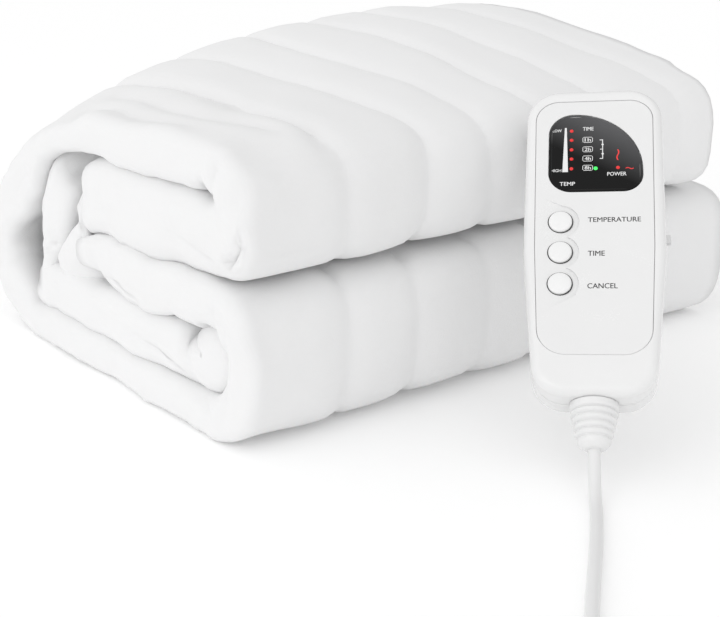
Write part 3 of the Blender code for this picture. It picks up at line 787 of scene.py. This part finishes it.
def fold_rows(rows, run):
    """Grids of x, y and z for the cloth's middle surface, one row a station, hem to fold and back, and of
    how loose it lies."""
    outer, inner = rows[:, 0:2], rows[:, 2:4]
    across = inner - outer
    across /= np.linalg.norm(across, axis=1, keepdims=True)
    plies = (outer, inner)
    shown = rows[:, 5] < HIDDEN_BACK
    every = np.ones(len(rows), bool)
    middle = (outer + inner) / 2
    away = (((middle - FLUSH_AT) / FLUSH_REACH) ** 2).sum(axis=1)
    flush = np.exp(-(away ** 2))
    touch = TOUCH + (FLUSH_TOUCH - TOUCH) * flush
    bulge_out = (puff(clear_ahead(outer, -across, plies, 0, shown), touch) * shown)[:, None]
    bulge_in = (puff(clear_ahead(inner, across, plies, 1, shown), touch) * shown)[:, None]
    bulge_in = np.maximum(bulge_in, rows[:, 4:5])
    loose_out = np.clip((clear_ahead(outer, -across, plies, 0, every) - CLOTH) / LOOSE, 0, 1)
    loose_in = np.clip((clear_ahead(inner, across, plies, 1, every) - CLOTH) / LOOSE, 0, 1)
    near, far = outer - across * bulge_out, inner + across * bulge_in
    half = np.linalg.norm(far - near, axis=1, keepdims=True) / 2
    wider = np.maximum(half - WIDE_END, 0)
    depth = np.minimum(half, FOLD_DEPTH + ROUNDER * wider)
    fold_start = FOLD_X + rows[:, 5:6] + depth
    xs = ply_stations(HEM_X - rows[:, 6], fold_start[:, 0], line_wander(run))
    share = smooth((fold_start + FLARE - xs) / FLARE)[:, :, None]
    outer_row = outer[:, None] - (across * bulge_out)[:, None] * share
    inner_row = inner[:, None] + (across * bulge_in)[:, None] * share
    middle = (near + far) / 2
    square = FOLD_SQUARE + (FLUSH_SQUARE - FOLD_SQUARE) * flush[:, None]
    square = square - LESS_SQUARE * np.minimum(wider, LESS_UP_TO)
    out, over = even_arc(depth, half, square)
    arc_x = fold_start - depth * out
    arc = middle[:, None] + ((near - far) / 2)[:, None] * over[:, :, None]
    x = np.concatenate((xs, arc_x, xs[:, ::-1]), 1)
    yz = np.concatenate((outer_row, arc, inner_row[:, ::-1]), 1)
    across_fold = np.interp(np.arange(x.shape[1]), (xs.shape[1] - 1, xs.shape[1] + FOLD_STEPS - 1), (0, 1))
    loose = loose_out[:, None] * (1 - across_fold) + loose_in[:, None] * across_fold
    return x, yz[:, :, 0], yz[:, :, 1], loose


def settle(x, y, z):
    """The bundle's uneven lie: flat below, crowned at the front, rising to the back of its hem end."""
    along = np.clip((x - FOLD_X) / RISE_LONG, 0, 1)
    rise = np.sin(np.pi / 2 * along) ** RISE_BEND
    across = np.clip((y - RISE_FRONT) / RISE_WIDE, 0, 1)
    lift = rise * (FRONT_RISE + (BACK_RISE - FRONT_RISE) * np.sin(np.pi / 2 * across))
    end = np.clip(1 - (x - FOLD_X) / DROP_LONG, 0, None) ** 2
    lift = lift - BACK_DROP * end * np.clip((y - DROP_FRONT) / DROP_WIDE, 0, 1)
    return x, y - MID_Y, z + lift * smooth(z / TOP_Z)


def grid_normals(x, y, z):
    """Unit normals of the cloth's middle surface, outwards on the outer ply."""
    point = np.stack((x, y, z), 2)
    along = np.gradient(point, axis=0)
    over = np.gradient(point, axis=1)
    normal = np.cross(over, along)
    return normal / np.maximum(np.linalg.norm(normal, axis=2, keepdims=True), TINY)


CHANNEL_DEEP, CHANNEL_UNEVEN, FRONT_SHALLOWER = 2.5, 0.5, 0.7           # mm
CHANNEL_WIDE, FRONT_WIDER = 4.4, 2.2
SHOULDER_DEEP, SHOULDER_WIDE = 0.7, 13          # the broad dip either side of a channel
SWELL, RIPPLE = 0.9, 0.45       # heights of the cloth's long soft swells and of the shorter ones over them
PRESSED = 0.3                   # how much of a channel's depth is left where a layer lies on it
END_REACH, END_BLEND = 46, 40   # how far from the half-fold the crumples reach, and over what they fade in
END_STRETCH = 0.4               # the crumples run along x, so they're read slower that way
CREASE_DEEP, CREASE_WIDE, LIP_TALL, LIP_OFF, LIP_WIDE = 2.1, 4.5, 0.6, 11, 6     # and its low lips
TOP_FROM, TOP_OVER = 130, 10    # the creases start above this height
NOISE_SEED = 4
CRUMPLES = ((31.0, 2.2), (15.0, 1.3), (8.0, 0.5))      # wavelength and height of the fold end's unevenness
LOFT = ((38.0, 0.9), (13.0, 0.5))       # the same for the loft of the fleece everywhere
# Dents pressed into the fold end: the middle's y and z, their reach along and across, the angle, and the
# depth, less than nothing where the cloth stands out.
DENTS = (
    (142, 60, 13, 9, 0, 6.0),
    (-9, 98, 10, 2.4, -49, 6.0),
    (60, 31, 42, 2.2, 9, 2.2),
    (28, 20, 14, 2.2, 22, 2.5),
    (186, 74, 12, 4, 0, 2.5),
    (100, 58, 26, 2.4, 6, 2.2),
    (84, 50, 12, 2.4, 20, 2.2),
    (20, 93, 22, 2.4, 14, 1.8),
    (12, 62, 3, 16, 0, 1.6),
    (2, 40, 3, 24, 4, 2.2),
    (222, 40, 8, 14, 0, 2.0),
    (-14, 128, 4, 15, 8, 2.6),
    (2, 137, 3.5, 13, 10, 2.4),
    (70, 98, 26, 10, 12, -2.2),
    (60, 70, 30, 9, 8, -2.0),
    (120, 92, 8, 16, 0, 1.8),
)
# Creases pressed into the top near the fold end: their courses in mm, seen from above.
TOP_CREASES = (
    ((-131, 175), (-134, 130), (-135, 95)),
    ((-158, 161), (-166, 90), (-168, 53), (-158, 16)),
    ((-142, 88), (-138, 21), (-149, -17)),
    ((-176, 150), (-182, 95), (-180, 50)),
)


def relief(x, run, normal, loose):
    """How far the cloth's face stands in or out, in mm: the wires' channels, and soft uneven swells."""
    v = run[:, None]
    front = np.clip(-normal[:, :, 1], 0, 1)
    width = CHANNEL_WIDE + FRONT_WIDER * front
    height = np.zeros_like(x)
    for k, course in enumerate(line_wander(run)):
        offset = np.abs(x - course[:, None])
        depth = CHANNEL_DEEP + CHANNEL_UNEVEN * np.sin(v / 47 + k * 2.3) - FRONT_SHALLOWER * front
        height -= depth * np.exp(-((offset / width) ** 2))
        height -= SHOULDER_DEEP * np.exp(-((offset / SHOULDER_WIDE) ** 2))
    height *= PRESSED + (1 - PRESSED) * loose
    height += loose * SWELL * np.sin(x / 31 + v / 53 + 1.0) * np.sin(v / 37 - x / 67)
    height += loose * RIPPLE * np.sin(x / 13.3 + 2 * np.sin(v / 41)) * np.sin(v / 17.7 + 0.8)
    return height


def line_distance(x, y, course):
    """Distance in plan from a broken line."""
    nearest = np.full(x.shape, FAR)
    for (ax, ay), (bx, by) in zip(course, course[1:]):
        length = (bx - ax) ** 2 + (by - ay) ** 2
        t = np.clip(((x - ax) * (bx - ax) + (y - ay) * (by - ay)) / length, 0, 1)
        nearest = np.minimum(nearest, np.hypot(x - ax - t * (bx - ax), y - ay - t * (by - ay)))
    return nearest


def crumple(point, x, y, z, normal):
    """The fold end's crumpled face, its dents and the creases that run from it over the top."""
    noise.seed_set(NOISE_SEED)      # the noise's offsets would otherwise change with the clock
    near = smooth((FOLD_X + END_REACH - x) / END_BLEND)
    for i, j in np.ndindex(*x.shape):
        place = Vector((x[i, j], y[i, j], z[i, j]))
        for wide, tall in LOFT:
            point[i, j] += noise.noise_vector(place / wide) * tall
        if near[i, j]:
            place.x *= END_STRETCH
            for wide, tall in CRUMPLES:
                point[i, j] += noise.noise_vector(place / wide) * tall * near[i, j]
    for at_y, at_z, reach, narrow, angle, depth in DENTS:
        turn = math.radians(angle)
        along = (y - at_y) * math.cos(turn) + (z - at_z) * math.sin(turn)
        aside = (z - at_z) * math.cos(turn) - (y - at_y) * math.sin(turn)
        point[:, :, 0] += depth * np.exp(-((along / reach) ** 2) - (aside / narrow) ** 2) * near
    top = np.clip(normal[:, :, 2], 0, 1) * np.clip((z - TOP_FROM) / TOP_OVER, 0, 1)
    for course in TOP_CREASES:
        away = line_distance(x, y, course)
        crease = CREASE_DEEP * np.exp(-((away / CREASE_WIDE) ** 1.5))
        lip = LIP_TALL * np.exp(-((away - LIP_OFF) / LIP_WIDE) ** 2)
        point -= normal * (top * (crease - lip))[:, :, None]
    return point


def make_pad(material):
    """The flat cloth as a grid, laid into its folds, pressed along its wires and thickened."""
    rows, run = section_rows()
    x, y, z, loose = fold_rows(rows, run)
    columns = x.shape[1]
    px, py, pz = settle(x, y, z)
    normal = grid_normals(px, py, pz)
    height = relief(x, run, normal, loose)
    point = crumple(np.stack((px, py, pz), 2) + normal * height[:, :, None], x, y, z, normal)
    point[:, :, 2] = np.maximum(point[:, :, 2], CLOTH / 2)
    deselect()
    bpy.ops.mesh.primitive_grid_add(x_subdivisions=columns - 1, y_subdivisions=ROWS - 1, size=2)
    pad = bpy.context.object
    flat = np.empty(len(pad.data.vertices) * 3)
    pad.data.vertices.foreach_get("co", flat)
    flat = flat.reshape(-1, 3)
    column = np.rint((flat[:, 0] + 1) / 2 * (columns - 1)).astype(int)
    row = np.rint((flat[:, 1] + 1) / 2 * (ROWS - 1)).astype(int)
    pad.data.vertices.foreach_set("co", (point[row, column] * MM).ravel())
    pad.data.update()
    apply_modifier(pad, "SOLIDIFY", thickness=CLOTH * MM, offset=0, use_quality_normals=True)
    return settle_in(pad, "folded_pad", Matrix.Identity(4), material, "root", "pad", degrees=0)


# ---------------------------------------------------------------- the controller
# Its own sizes are in mm: x to its right, y up its length from the lower end, z out of its face.
BODY_LENGTH, BODY_THICK, EDGE_ROUND = 165.0, 26.0, 4.5
CONTROLLER_AT = (-0.0810, -0.2526, 0.0335)
HEADING, LEAN, ROLL = -52.6, 46.2, 4.6
FACE = BODY_THICK / 2
GAP = 0.3
PARTING = 0.15
# Outlines: half the width at three stations along y, and the radius of the lower and the upper corners.
BODY = dict(halves=(27.2, 33.2, 32.6), stations=(0, 72, BODY_LENGTH), corners=(14.5, 16.5))
PLATE = dict(halves=(25.4, 27.6, 28.3), stations=(18.9, 75, 157.2), corners=(12.5, 11.5))
PLATE_THICK = 1.6
CUT_PAST = 4                    # how far a hole's cutter reaches either side of the face
# The window's corners: x, y and radius.
WINDOW = ((-21.6, 104.5, 10.9), (22.9, 104.5, 9.3), (22.9, 149.1, 32.4), (-21.6, 149.1, 11.8))
WINDOW_TOP, WINDOW_RIM, RIM_SLOPE = 12.8, 1.1, 0.22
GLASS_TOP = 12.62               # the printed part of the window, a step below its rim
RIM_HIGHLIGHT_INSET = (1.15, 1.4)          # how far the thin ring with a painted highlight lies inside the window's outline
RIM_SUNK, RIM_PROUD = 0.1, 0.12
REFLECTION_FROM, REFLECTION_TO = (-2, 121), (14, 150)       # where the painted reflection starts to lighten the glass, and where it is lightest
REFLECTION_ALONG, REFLECTION_ASIDE = 0.86, 0.5              # the direction that the painted reflection lightens in, up y and towards x
BUTTON_X = -15.7
BUTTON_Y = dict(temperature=87.9, time=71.4, cancel=54.8)
BUTTON_R, HOLE_R, WELL_FLOOR = 5.5, 6.0, 7.1
# A dark ring a little down the gap round each button: painted shade where the gap's shadow falls.
GAP_SHADE_RS, GAP_SHADE_DOWN, GAP_SHADE_THICK = (6.02, 5.55), 0.62, 0.5
BAY_LEFT, BAY_SLOPE = -24.0, 3.4                # the bay's floor leaves the face at this x, by these degrees
BAY_R, BAY_TALL = 8.8, 8                        # its scallops, and the height of its cutter
BAY_OUTLINE = ((-34, 105.4), (-23.1, 100.5), (-12, 95.5), (-12.6, 90), (-12.6, 54), (-9.6, 53), (-8.3, 48.9),
               (-23.9, 39.9), (-34, 34.1))
SWITCH_Y, SWITCH_LONG, SWITCH_WIDE, SWITCH_IN, SWITCH_OUT = 84.6, 4.2, 3.0, 3.0, 2.6
SLOT_DOWN, SLOT_UP, SLOT_HALF = 7.4, 2.4, 1.8   # how far its slot runs below and above the nub's middle
GROOVES, GROOVE_WIDE, GROOVE_DEEP = (-0.9, 0.3), 0.55, 0.5
# Radius and distance up the axis of the boot's rings, and of a button's crown, in mm.
BOOT_RINGS = ((11, .3), (11, 3.4), (9.5, 3.9), (10.8, 4.8), (10.6, 6), (8.9, 6.8), (10.2, 7.9), (9.9, 9.2),
              (8.2, 10), (9.4, 11.1), (9.1, 12.4), (7.5, 13.2), (8.7, 14.2), (8.4, 15.5), (6.9, 16.2),
              (7.6, 17.2), (7.1, 19.2), (5.4, 21), (3.6, 21.8))
BUTTON_PROFILE = ((5.3, -4.6), (5.5, -4.3), (5.5, 0.2), (5.42, 0.55), (5.15, 0.85), (4.6, 1.07), (3.7, 1.22),
                  (2.5, 1.33), (1.2, 1.39), (0.4, 1.4))
INK = 0.02
LETTER_SIZE = 4
BOLDER = 0.11                   # how far a letter's second stroke stands off its first
# Words, and the box that each fills: left, right, lower and upper edge.
DISPLAY_WORDS = (("LOW", -20.0, -15.6, 139.4, 141.0), ("HIGH", -20.6, -15.6, 116.1, 117.7),
                 ("TEMP", -16.3, -9.0, 108.2, 110.3), ("TIME", -5.4, -0.2, 139.9, 142.0),
                 ("POWER", 6.2, 15.3, 113.4, 115.5))
PLATE_WORDS = (("TEMPERATURE", -2.9, 21.6, 87.5, 90.1), ("TIME", -2.9, 4.9, 69.3, 72.0),
               ("CANCEL", -3.1, 10.6, 52.2, 54.9))
HOUR_BOXES = (("1h", 132.8, 136.1), ("2h", 127.3, 130.5), ("4h", 121.9, 125.2), ("8h", 116.6, 119.8))
HOUR_X, HOUR_WORD_X, HOUR_MARGIN = (-5.5, -0.6), (-4.5, -1.5), 0.65
HOUR_CORNER, HOUR_LINE = 0.6, 0.28
WEDGE = ((-15.1, 116.0), (-12.4, 116.0), (-13.2, 141.8), (-14.1, 141.8))
BRACKET = ((2.7, 134.4), (4.3, 134.4), (4.3, 123.2), (2.7, 123.2), (2.7, 123.6), (3.9, 123.6), (3.9, 128.6),
           (2.9, 128.6), (2.9, 129.0), (3.9, 129.0), (3.9, 134.0), (2.7, 134.0))
BRACKET_DOTS, DOT_R = ((4.1, 131.5), (4.1, 126.1)), 0.55
# Wavy strokes: from x, y to x, y, then their swing and width.
RED_STROKES = ((11.3, 128.4, 11.3, 122.3, 0.42, 0.6), (14.9, 117.5, 18.7, 117.5, 0.35, 0.45))
RED_LAMPS = ((-10.8, 139.8), (-10.8, 134.4), (-10.8, 128.8), (-10.8, 123.4), (-10.8, 117.8), (11.3, 118.0))
GREEN_LAMP = (0.7, 117.8)
RED_R, GREEN_R = 0.92, 1.0
DOME = ((1, 0), (0.95, 0.12), (0.7, 0.24), (0.3, 0.29))        # share of a lamp's radius, and height
THIN = 1e-5                     # m: vertices this close to a plane or a corner are on it


def controller_place():
    """Where the controller leans: its own frame in the part's."""
    heading, lean, roll = (math.radians(a) for a in (HEADING, LEAN, ROLL))
    turn = Matrix.Rotation(heading, 4, "Z") @ Matrix.Rotation(lean, 4, "X") @ Matrix.Rotation(roll, 4, "Z")
    return Matrix.Translation(CONTROLLER_AT) @ turn


def slab(shape, low, high, grow=0.0):
    """A closed slab whose outline swells at its middle station and has rounded corners. Sizes in mm."""
    deselect()
    bpy.ops.mesh.primitive_cube_add(size=2, location=(0, 0, 0))
    obj = bpy.context.object
    edit(obj, verts=lambda v: True)
    bpy.ops.mesh.bisect(plane_co=(0, 0, 0), plane_no=(0, 1, 0))
    leave()
    bottom, middle, top = shape["stations"]
    rows = ((0, shape["halves"][1], middle), (-1, shape["halves"][0], bottom - grow),
            (1, shape["halves"][2], top + grow))
    for row, half, y in rows:
        edit(obj, verts=lambda v: abs(v.co.y - row) < THIN)
        bpy.ops.transform.resize(value=((half + grow) * MM, 1, 1), center_override=(0, row, 0))
        bpy.ops.transform.translate(value=(0, y * MM - row, 0))
        leave()
    for side, z in ((-1, low), (1, high)):
        edit(obj, verts=lambda v: abs(v.co.z - side) < THIN)
        bpy.ops.transform.translate(value=(0, 0, z * MM - side))
        leave()
    for y, corner in ((bottom - grow, shape["corners"][0]), (top + grow, shape["corners"][1])):
        edit(obj, edges=lambda e: all(abs(v.co.y - y * MM) < THIN for v in e.verts)
             and abs(e.verts[0].co.x - e.verts[1].co.x) < THIN)
        bpy.ops.mesh.bevel(offset_type="OFFSET", offset=(corner + grow) * MM, segments=14, profile=0.5)
        leave()
    return obj


def round_rim(obj, height, width, segments):
    """Eases the edge all round a slab's face at one height."""
    edit(obj, edges=lambda e: all(abs(v.co.z - height * MM) < THIN for v in e.verts)
         and any(abs(f.normal.z) < 0.5 for f in e.link_faces))
    bpy.ops.mesh.bevel(offset_type="OFFSET", offset=width * MM, segments=segments, profile=0.5)
    leave()


def post(x, y, radius, low, high, sides=64):
    """A round cutter standing on the controller's face."""
    deselect()
    bpy.ops.mesh.primitive_cylinder_add(vertices=sides, radius=radius * MM, depth=(high - low) * MM,
                                        location=(x * MM, y * MM, (low + high) / 2 * MM))
    bpy.ops.object.transform_apply(location=True, scale=True)
    return bpy.context.object


def block(x0, x1, y0, y1, z0, z1):
    """A box between three pairs of planes, in mm."""
    deselect()
    bpy.ops.mesh.primitive_cube_add(size=1, location=((x0 + x1) / 2 * MM, (y0 + y1) / 2 * MM,
                                                      (z0 + z1) / 2 * MM))
    obj = bpy.context.object
    obj.scale = ((x1 - x0) * MM, (y1 - y0) * MM, (z1 - z0) * MM)
    bpy.ops.object.transform_apply(location=True, scale=True)
    return obj


def window_slab(grow, low, high):
    """The display's outline: square, with one wide round corner."""
    xs = [x for x, _, _ in WINDOW]
    ys = [y for _, y, _ in WINDOW]
    obj = block(min(xs) - grow, max(xs) + grow, min(ys) - grow, max(ys) + grow, low, high)
    for x, y, corner in WINDOW:
        at_x = x + math.copysign(grow, x)
        at_y = y + (grow if y == max(ys) else -grow)
        edit(obj, edges=lambda e: all((v.co.xy - Vector((at_x, at_y)) * MM).length < THIN for v in e.verts))
        bpy.ops.mesh.bevel(offset_type="OFFSET", offset=(corner + grow) * MM, segments=24, profile=0.5)
        leave()
    return obj


def flat_shape(outlines, thick=2 * INK):
    """A thin flat piece from closed outlines in mm; an outline inside another is a hole."""
    curve = bpy.data.curves.new("outline", "CURVE")
    curve.dimensions = "2D"
    curve.fill_mode = "BOTH"
    curve.extrude = thick / 2 * MM
    for outline in outlines:
        spline = curve.splines.new("POLY")
        spline.points.add(len(outline) - 1)
        for (x, y), point in zip(outline, spline.points):
            point.co = (x * MM, y * MM, 0, 1)
        spline.use_cyclic_u = True
    obj = bpy.data.objects.new("outline", curve)
    bpy.context.scene.collection.objects.link(obj)
    pick(obj)
    bpy.ops.object.convert(target="MESH")
    return bpy.context.object


def lettering(words, x0, x1, y0, y1):
    """Flat lettering stretched to fill a box in mm."""
    deselect()
    bpy.ops.object.text_add(location=(0, 0, 0))
    text = bpy.context.object
    text.data.body = words
    text.data.size = LETTER_SIZE * MM
    text.data.extrude = INK * MM
    text.data.resolution_u = 3
    bpy.ops.object.convert(target="MESH")
    text = bpy.context.object
    bolder = text.copy()
    bolder.data = text.data.copy()
    bpy.context.scene.collection.objects.link(bolder)
    bolder.location = (BOLDER * MM, BOLDER / 2 * MM, -BOLDER / 8 * MM)
    text = joined([text, bolder])
    low = Vector(text.bound_box[0])
    high = Vector(text.bound_box[6])
    wide, tall = high.x - low.x, high.y - low.y
    text.scale = ((x1 - x0) * MM / wide, (y1 - y0) * MM / tall, 1)
    text.location = (x0 * MM - low.x * text.scale.x, y0 * MM - low.y * text.scale.y, 0)
    bpy.ops.object.transform_apply(location=True, scale=True)
    return text


def joined(pieces):
    """Several pieces as one."""
    pick(pieces[0])
    for piece in pieces[1:]:
        piece.select_set(True)
    bpy.ops.object.join()
    return bpy.context.object


def sine_stroke(x0, y0, x1, y1, swing, width, steps=20):
    """A wavy stroke of one period from one point to another."""
    start, end = Vector((x0, y0)), Vector((x1, y1))
    along = (end - start).normalized()
    side = Vector((-along.y, along.x))
    line = [start + (end - start) * (k / steps) + side * swing * math.sin(2 * math.pi * k / steps)
            for k in range(steps + 1)]
    left = [p + side * width / 2 for p in line]
    right = [p - side * width / 2 for p in line]
    return [tuple(p) for p in left + right[::-1]]


def box_frame(x0, x1, y0, y1, corner, rim):
    """Two outlines, an outer box with cut corners and the hole in it."""
    outlines = []
    for inset, cut in ((0, corner), (rim, corner * 0.5)):
        a, b, c, d = x0 + inset, x1 - inset, y0 + inset, y1 - inset
        outlines.append([(a + cut, c), (b - cut, c), (b, c + cut), (b, d - cut), (b - cut, d), (a + cut, d),
                         (a, d - cut), (a, c + cut)])
    return outlines


def round_dot(x, y, radius, sides=20):
    """A round outline."""
    return [(x + radius * math.cos(2 * math.pi * k / sides), y + radius * math.sin(2 * math.pi * k / sides))
            for k in range(sides)]


def lamp_dome(x, y, radius):
    """A low round lens over a lamp."""
    dome = turned_piece([(radius * share, height) for share, height in DOME], 24)
    move(dome, x, y, 0)
    return dome


def housing_place(z=0.0):
    """The controller's frame, moved out along its z by some mm."""
    return controller_place() @ Matrix.Translation((0, 0, z * MM))


def switch_slot():
    """The cutter for the slot that the side switch runs in."""
    edge = BODY["halves"][1]
    return block(edge - SWITCH_IN, edge + SWITCH_IN, SWITCH_Y - SLOT_DOWN, SWITCH_Y + SLOT_UP, -SLOT_HALF,
                 SLOT_HALF)


def make_shells(white):
    """The two halves of the housing, with the plate's seat, the button wells and the switch's slot."""
    front = slab(BODY, PARTING, FACE)
    round_rim(front, FACE, EDGE_ROUND, 9)
    combine(front, slab(PLATE, FACE - PLATE_THICK, FACE + 1, GAP / 2))
    for y in BUTTON_Y.values():
        combine(front, post(BUTTON_X, y, BUTTON_R + GAP, WELL_FLOOR, FACE))
    back = slab(BODY, -FACE, -PARTING)
    round_rim(back, -FACE, EDGE_ROUND, 9)
    for half, name, node in ((front, "front_housing", "front_shell"), (back, "back_housing", "back_shell")):
        combine(half, switch_slot())
        settle_in(half, name, housing_place(), white, "root", node)


def bay_cutter():
    """The sunk bay round the buttons: its floor slopes down from the left to a scalloped wall."""
    area = flat_shape([BAY_OUTLINE], BAY_TALL)
    move(area, 0, 0, FACE + BAY_TALL / 2)
    for y in BUTTON_Y.values():
        combine(area, post(BUTTON_X, y, BAY_R, FACE, FACE + BAY_TALL), "UNION")
    hinge = Matrix.Translation((BAY_LEFT * MM, 0, FACE * MM))
    area.matrix_world = hinge @ Matrix.Rotation(math.radians(BAY_SLOPE), 4, "Y") @ hinge.inverted()
    pick(area)
    bpy.ops.object.transform_apply(location=True, rotation=True)
    return area


def make_plate(white):
    """The inset control plate, with its window's opening, its bay and the buttons' holes."""
    plate = slab(PLATE, FACE - PLATE_THICK + GAP, FACE)
    round_rim(plate, FACE, 0.5, 3)
    combine(plate, window_slab(GAP, FACE - CUT_PAST, FACE + CUT_PAST))
    combine(plate, bay_cutter())
    for y in BUTTON_Y.values():
        combine(plate, post(BUTTON_X, y, HOLE_R, FACE - CUT_PAST, FACE + CUT_PAST))
    settle_in(plate, "control_plate", housing_place(), white, "root", "face_plate")


def make_window(black, grey):
    """The display's window, its face a step below its rim, and a thin ring round the glass coloured as a
    painted highlight.
    """
    window = window_slab(0, FACE - PLATE_THICK + GAP, WINDOW_TOP)
    edit(window, faces=lambda f: f.normal.z > 0.9)
    bpy.ops.mesh.inset(thickness=WINDOW_RIM * MM)
    bpy.ops.mesh.inset(thickness=RIM_SLOPE * MM)
    bpy.ops.transform.translate(value=(0, 0, (GLASS_TOP - WINDOW_TOP) * MM))
    leave()
    round_rim(window, WINDOW_TOP, 0.2, 2)
    settle_in(window, "display_glass", housing_place(), black, "root", "display_window")
    # A thin ring round the glass whose colour is a painted highlight, dark below and light at the upper
    # right.
    outer, inner = RIM_HIGHLIGHT_INSET
    rim = window_slab(-outer, GLASS_TOP - RIM_SUNK, GLASS_TOP + RIM_PROUD)
    combine(rim, window_slab(-inner, GLASS_TOP - CUT_PAST, GLASS_TOP + CUT_PAST))
    settle_in(rim, "display_rim_painted_highlight", housing_place(), grey, "root")


def make_display_marks():
    """The printed scales and the lamps behind the window."""
    white = [lettering(*row) for row in DISPLAY_WORDS]
    white.append(flat_shape([WEDGE]))
    for words, low, high in HOUR_BOXES:
        white.append(flat_shape(box_frame(*HOUR_X, low, high, HOUR_CORNER, HOUR_LINE)))
        white.append(lettering(words, *HOUR_WORD_X, low + HOUR_MARGIN, high - HOUR_MARGIN))
    white.append(flat_shape([BRACKET]))
    for x, y in BRACKET_DOTS:
        white.append(flat_shape([round_dot(x, y, DOT_R)], 3 * INK))
    red = [flat_shape([sine_stroke(*row)]) for row in RED_STROKES]
    ink_place = housing_place(GLASS_TOP + INK / 2)
    white_ink = printed("white_ink", (0.85, 0.85, 0.85))
    red_mark = lamp("red_mark", (0.75, 0.03, 0.03), 0.35)
    settle_in(joined(white), "display_marks", ink_place, white_ink, "root")
    settle_in(joined(red), "display_red_marks", ink_place, red_mark, "root")
    on_glass = housing_place(GLASS_TOP)
    domes = joined([lamp_dome(x, y, RED_R) for x, y in RED_LAMPS])
    settle_in(domes, "red_lamps", on_glass, lamp("red_lamp", (0.70, 0.02, 0.02), 0.35), "root")
    dome = lamp_dome(*GREEN_LAMP, GREEN_R)
    settle_in(dome, "green_lamp", on_glass, lamp("green_lamp", (0.05, 0.8, 0.12), 0.8), "root")


def make_plate_lettering(ink):
    """The words beside the buttons."""
    words = joined([lettering(*row) for row in PLATE_WORDS])
    settle_in(words, "plate_lettering", housing_place(FACE), ink, "root")


def make_buttons(white, gap_shade):
    """The three push buttons, each with a dark ring of painted shade in the gap round it."""
    for key, y in BUTTON_Y.items():
        button = turned_piece(BUTTON_PROFILE, 64)
        place = housing_place() @ Matrix.Translation((BUTTON_X * MM, y * MM, FACE * MM))
        settle_in(button, key + "_push_button", place, white, key + "_key", key + "_button")
        # A dark ring in the gap: painted shade.
        ring = flat_shape([round_dot(0, 0, radius, 64) for radius in GAP_SHADE_RS], GAP_SHADE_THICK)
        ring_place = place @ Matrix.Translation((0, 0, -GAP_SHADE_DOWN * MM))
        settle_in(ring, key + "_button_gap_shade", ring_place, gap_shade, "root")


def make_switch(white):
    """The slide switch's nub, with grip grooves across it."""
    edge = BODY["halves"][1]
    inner, outer = edge - SWITCH_IN + GAP, edge + SWITCH_OUT
    nub = block(inner, outer, SWITCH_Y - SWITCH_LONG / 2, SWITCH_Y + SWITCH_LONG / 2, -SWITCH_WIDE / 2,
                SWITCH_WIDE / 2)
    for offset in GROOVES:
        y = SWITCH_Y + offset
        combine(nub, block(outer - GROOVE_DEEP, outer + 1, y, y + GROOVE_WIDE, -2, 2))
    ease_edges(nub, 0.2, 2)
    settle_in(nub, "side_switch_nub", housing_place(), white, "switch_knob", "power_switch")


def make_boot(material):
    """The ribbed boot that the lead leaves the controller through."""
    boot = turned_piece(rounded_profile(BOOT_RINGS, 2), 48)
    down = housing_place() @ Matrix.Rotation(math.pi / 2, 4, "X")
    settle_in(boot, "ribbed_boot", down, material, "root", "cord_boot", degrees=50)


sheath = white_sheath()
housing_white = moulded_white("housing_white")
plate_white = moulded_white("plate_white", (0.785, 0.785, 0.785), 0.26)
button_white = moulded_white("button_white", (0.84, 0.84, 0.84), 0.2)
nub_white = moulded_white("nub_white", (0.72, 0.72, 0.72), 0.35)
# Black glass with a painted reflection towards its upper right.
black_window = painted_reflection_finish("black_window", (0.002, 0.002, 0.002), (0.135, 0.135, 0.14), 0.08)
# The ring round the glass: a painted highlight, dark below and light towards its upper right.
painted_rim_highlight = painted_reflection_finish("painted_rim_highlight", (0.02, 0.02, 0.02), (0.75, 0.75, 0.75), 0.3)

place_camera()
lead, boot_tip = make_lead(sheath)
plug_pieces = make_plug(sheath, plated_blade())
tie = make_tie(sheath)
pad = make_pad(white_fleece())
make_shells(housing_white)
make_plate(plate_white)
make_window(black_window, painted_rim_highlight)
make_display_marks()
make_plate_lettering(printed("grey_ink", (0.02, 0.02, 0.022)))
# The buttons' gap rings are dark as painted shade.
make_buttons(button_white, printed("painted_gap_shade", (0.04, 0.04, 0.04)))
make_switch(nub_white)
make_boot(sheath)
set_stage()
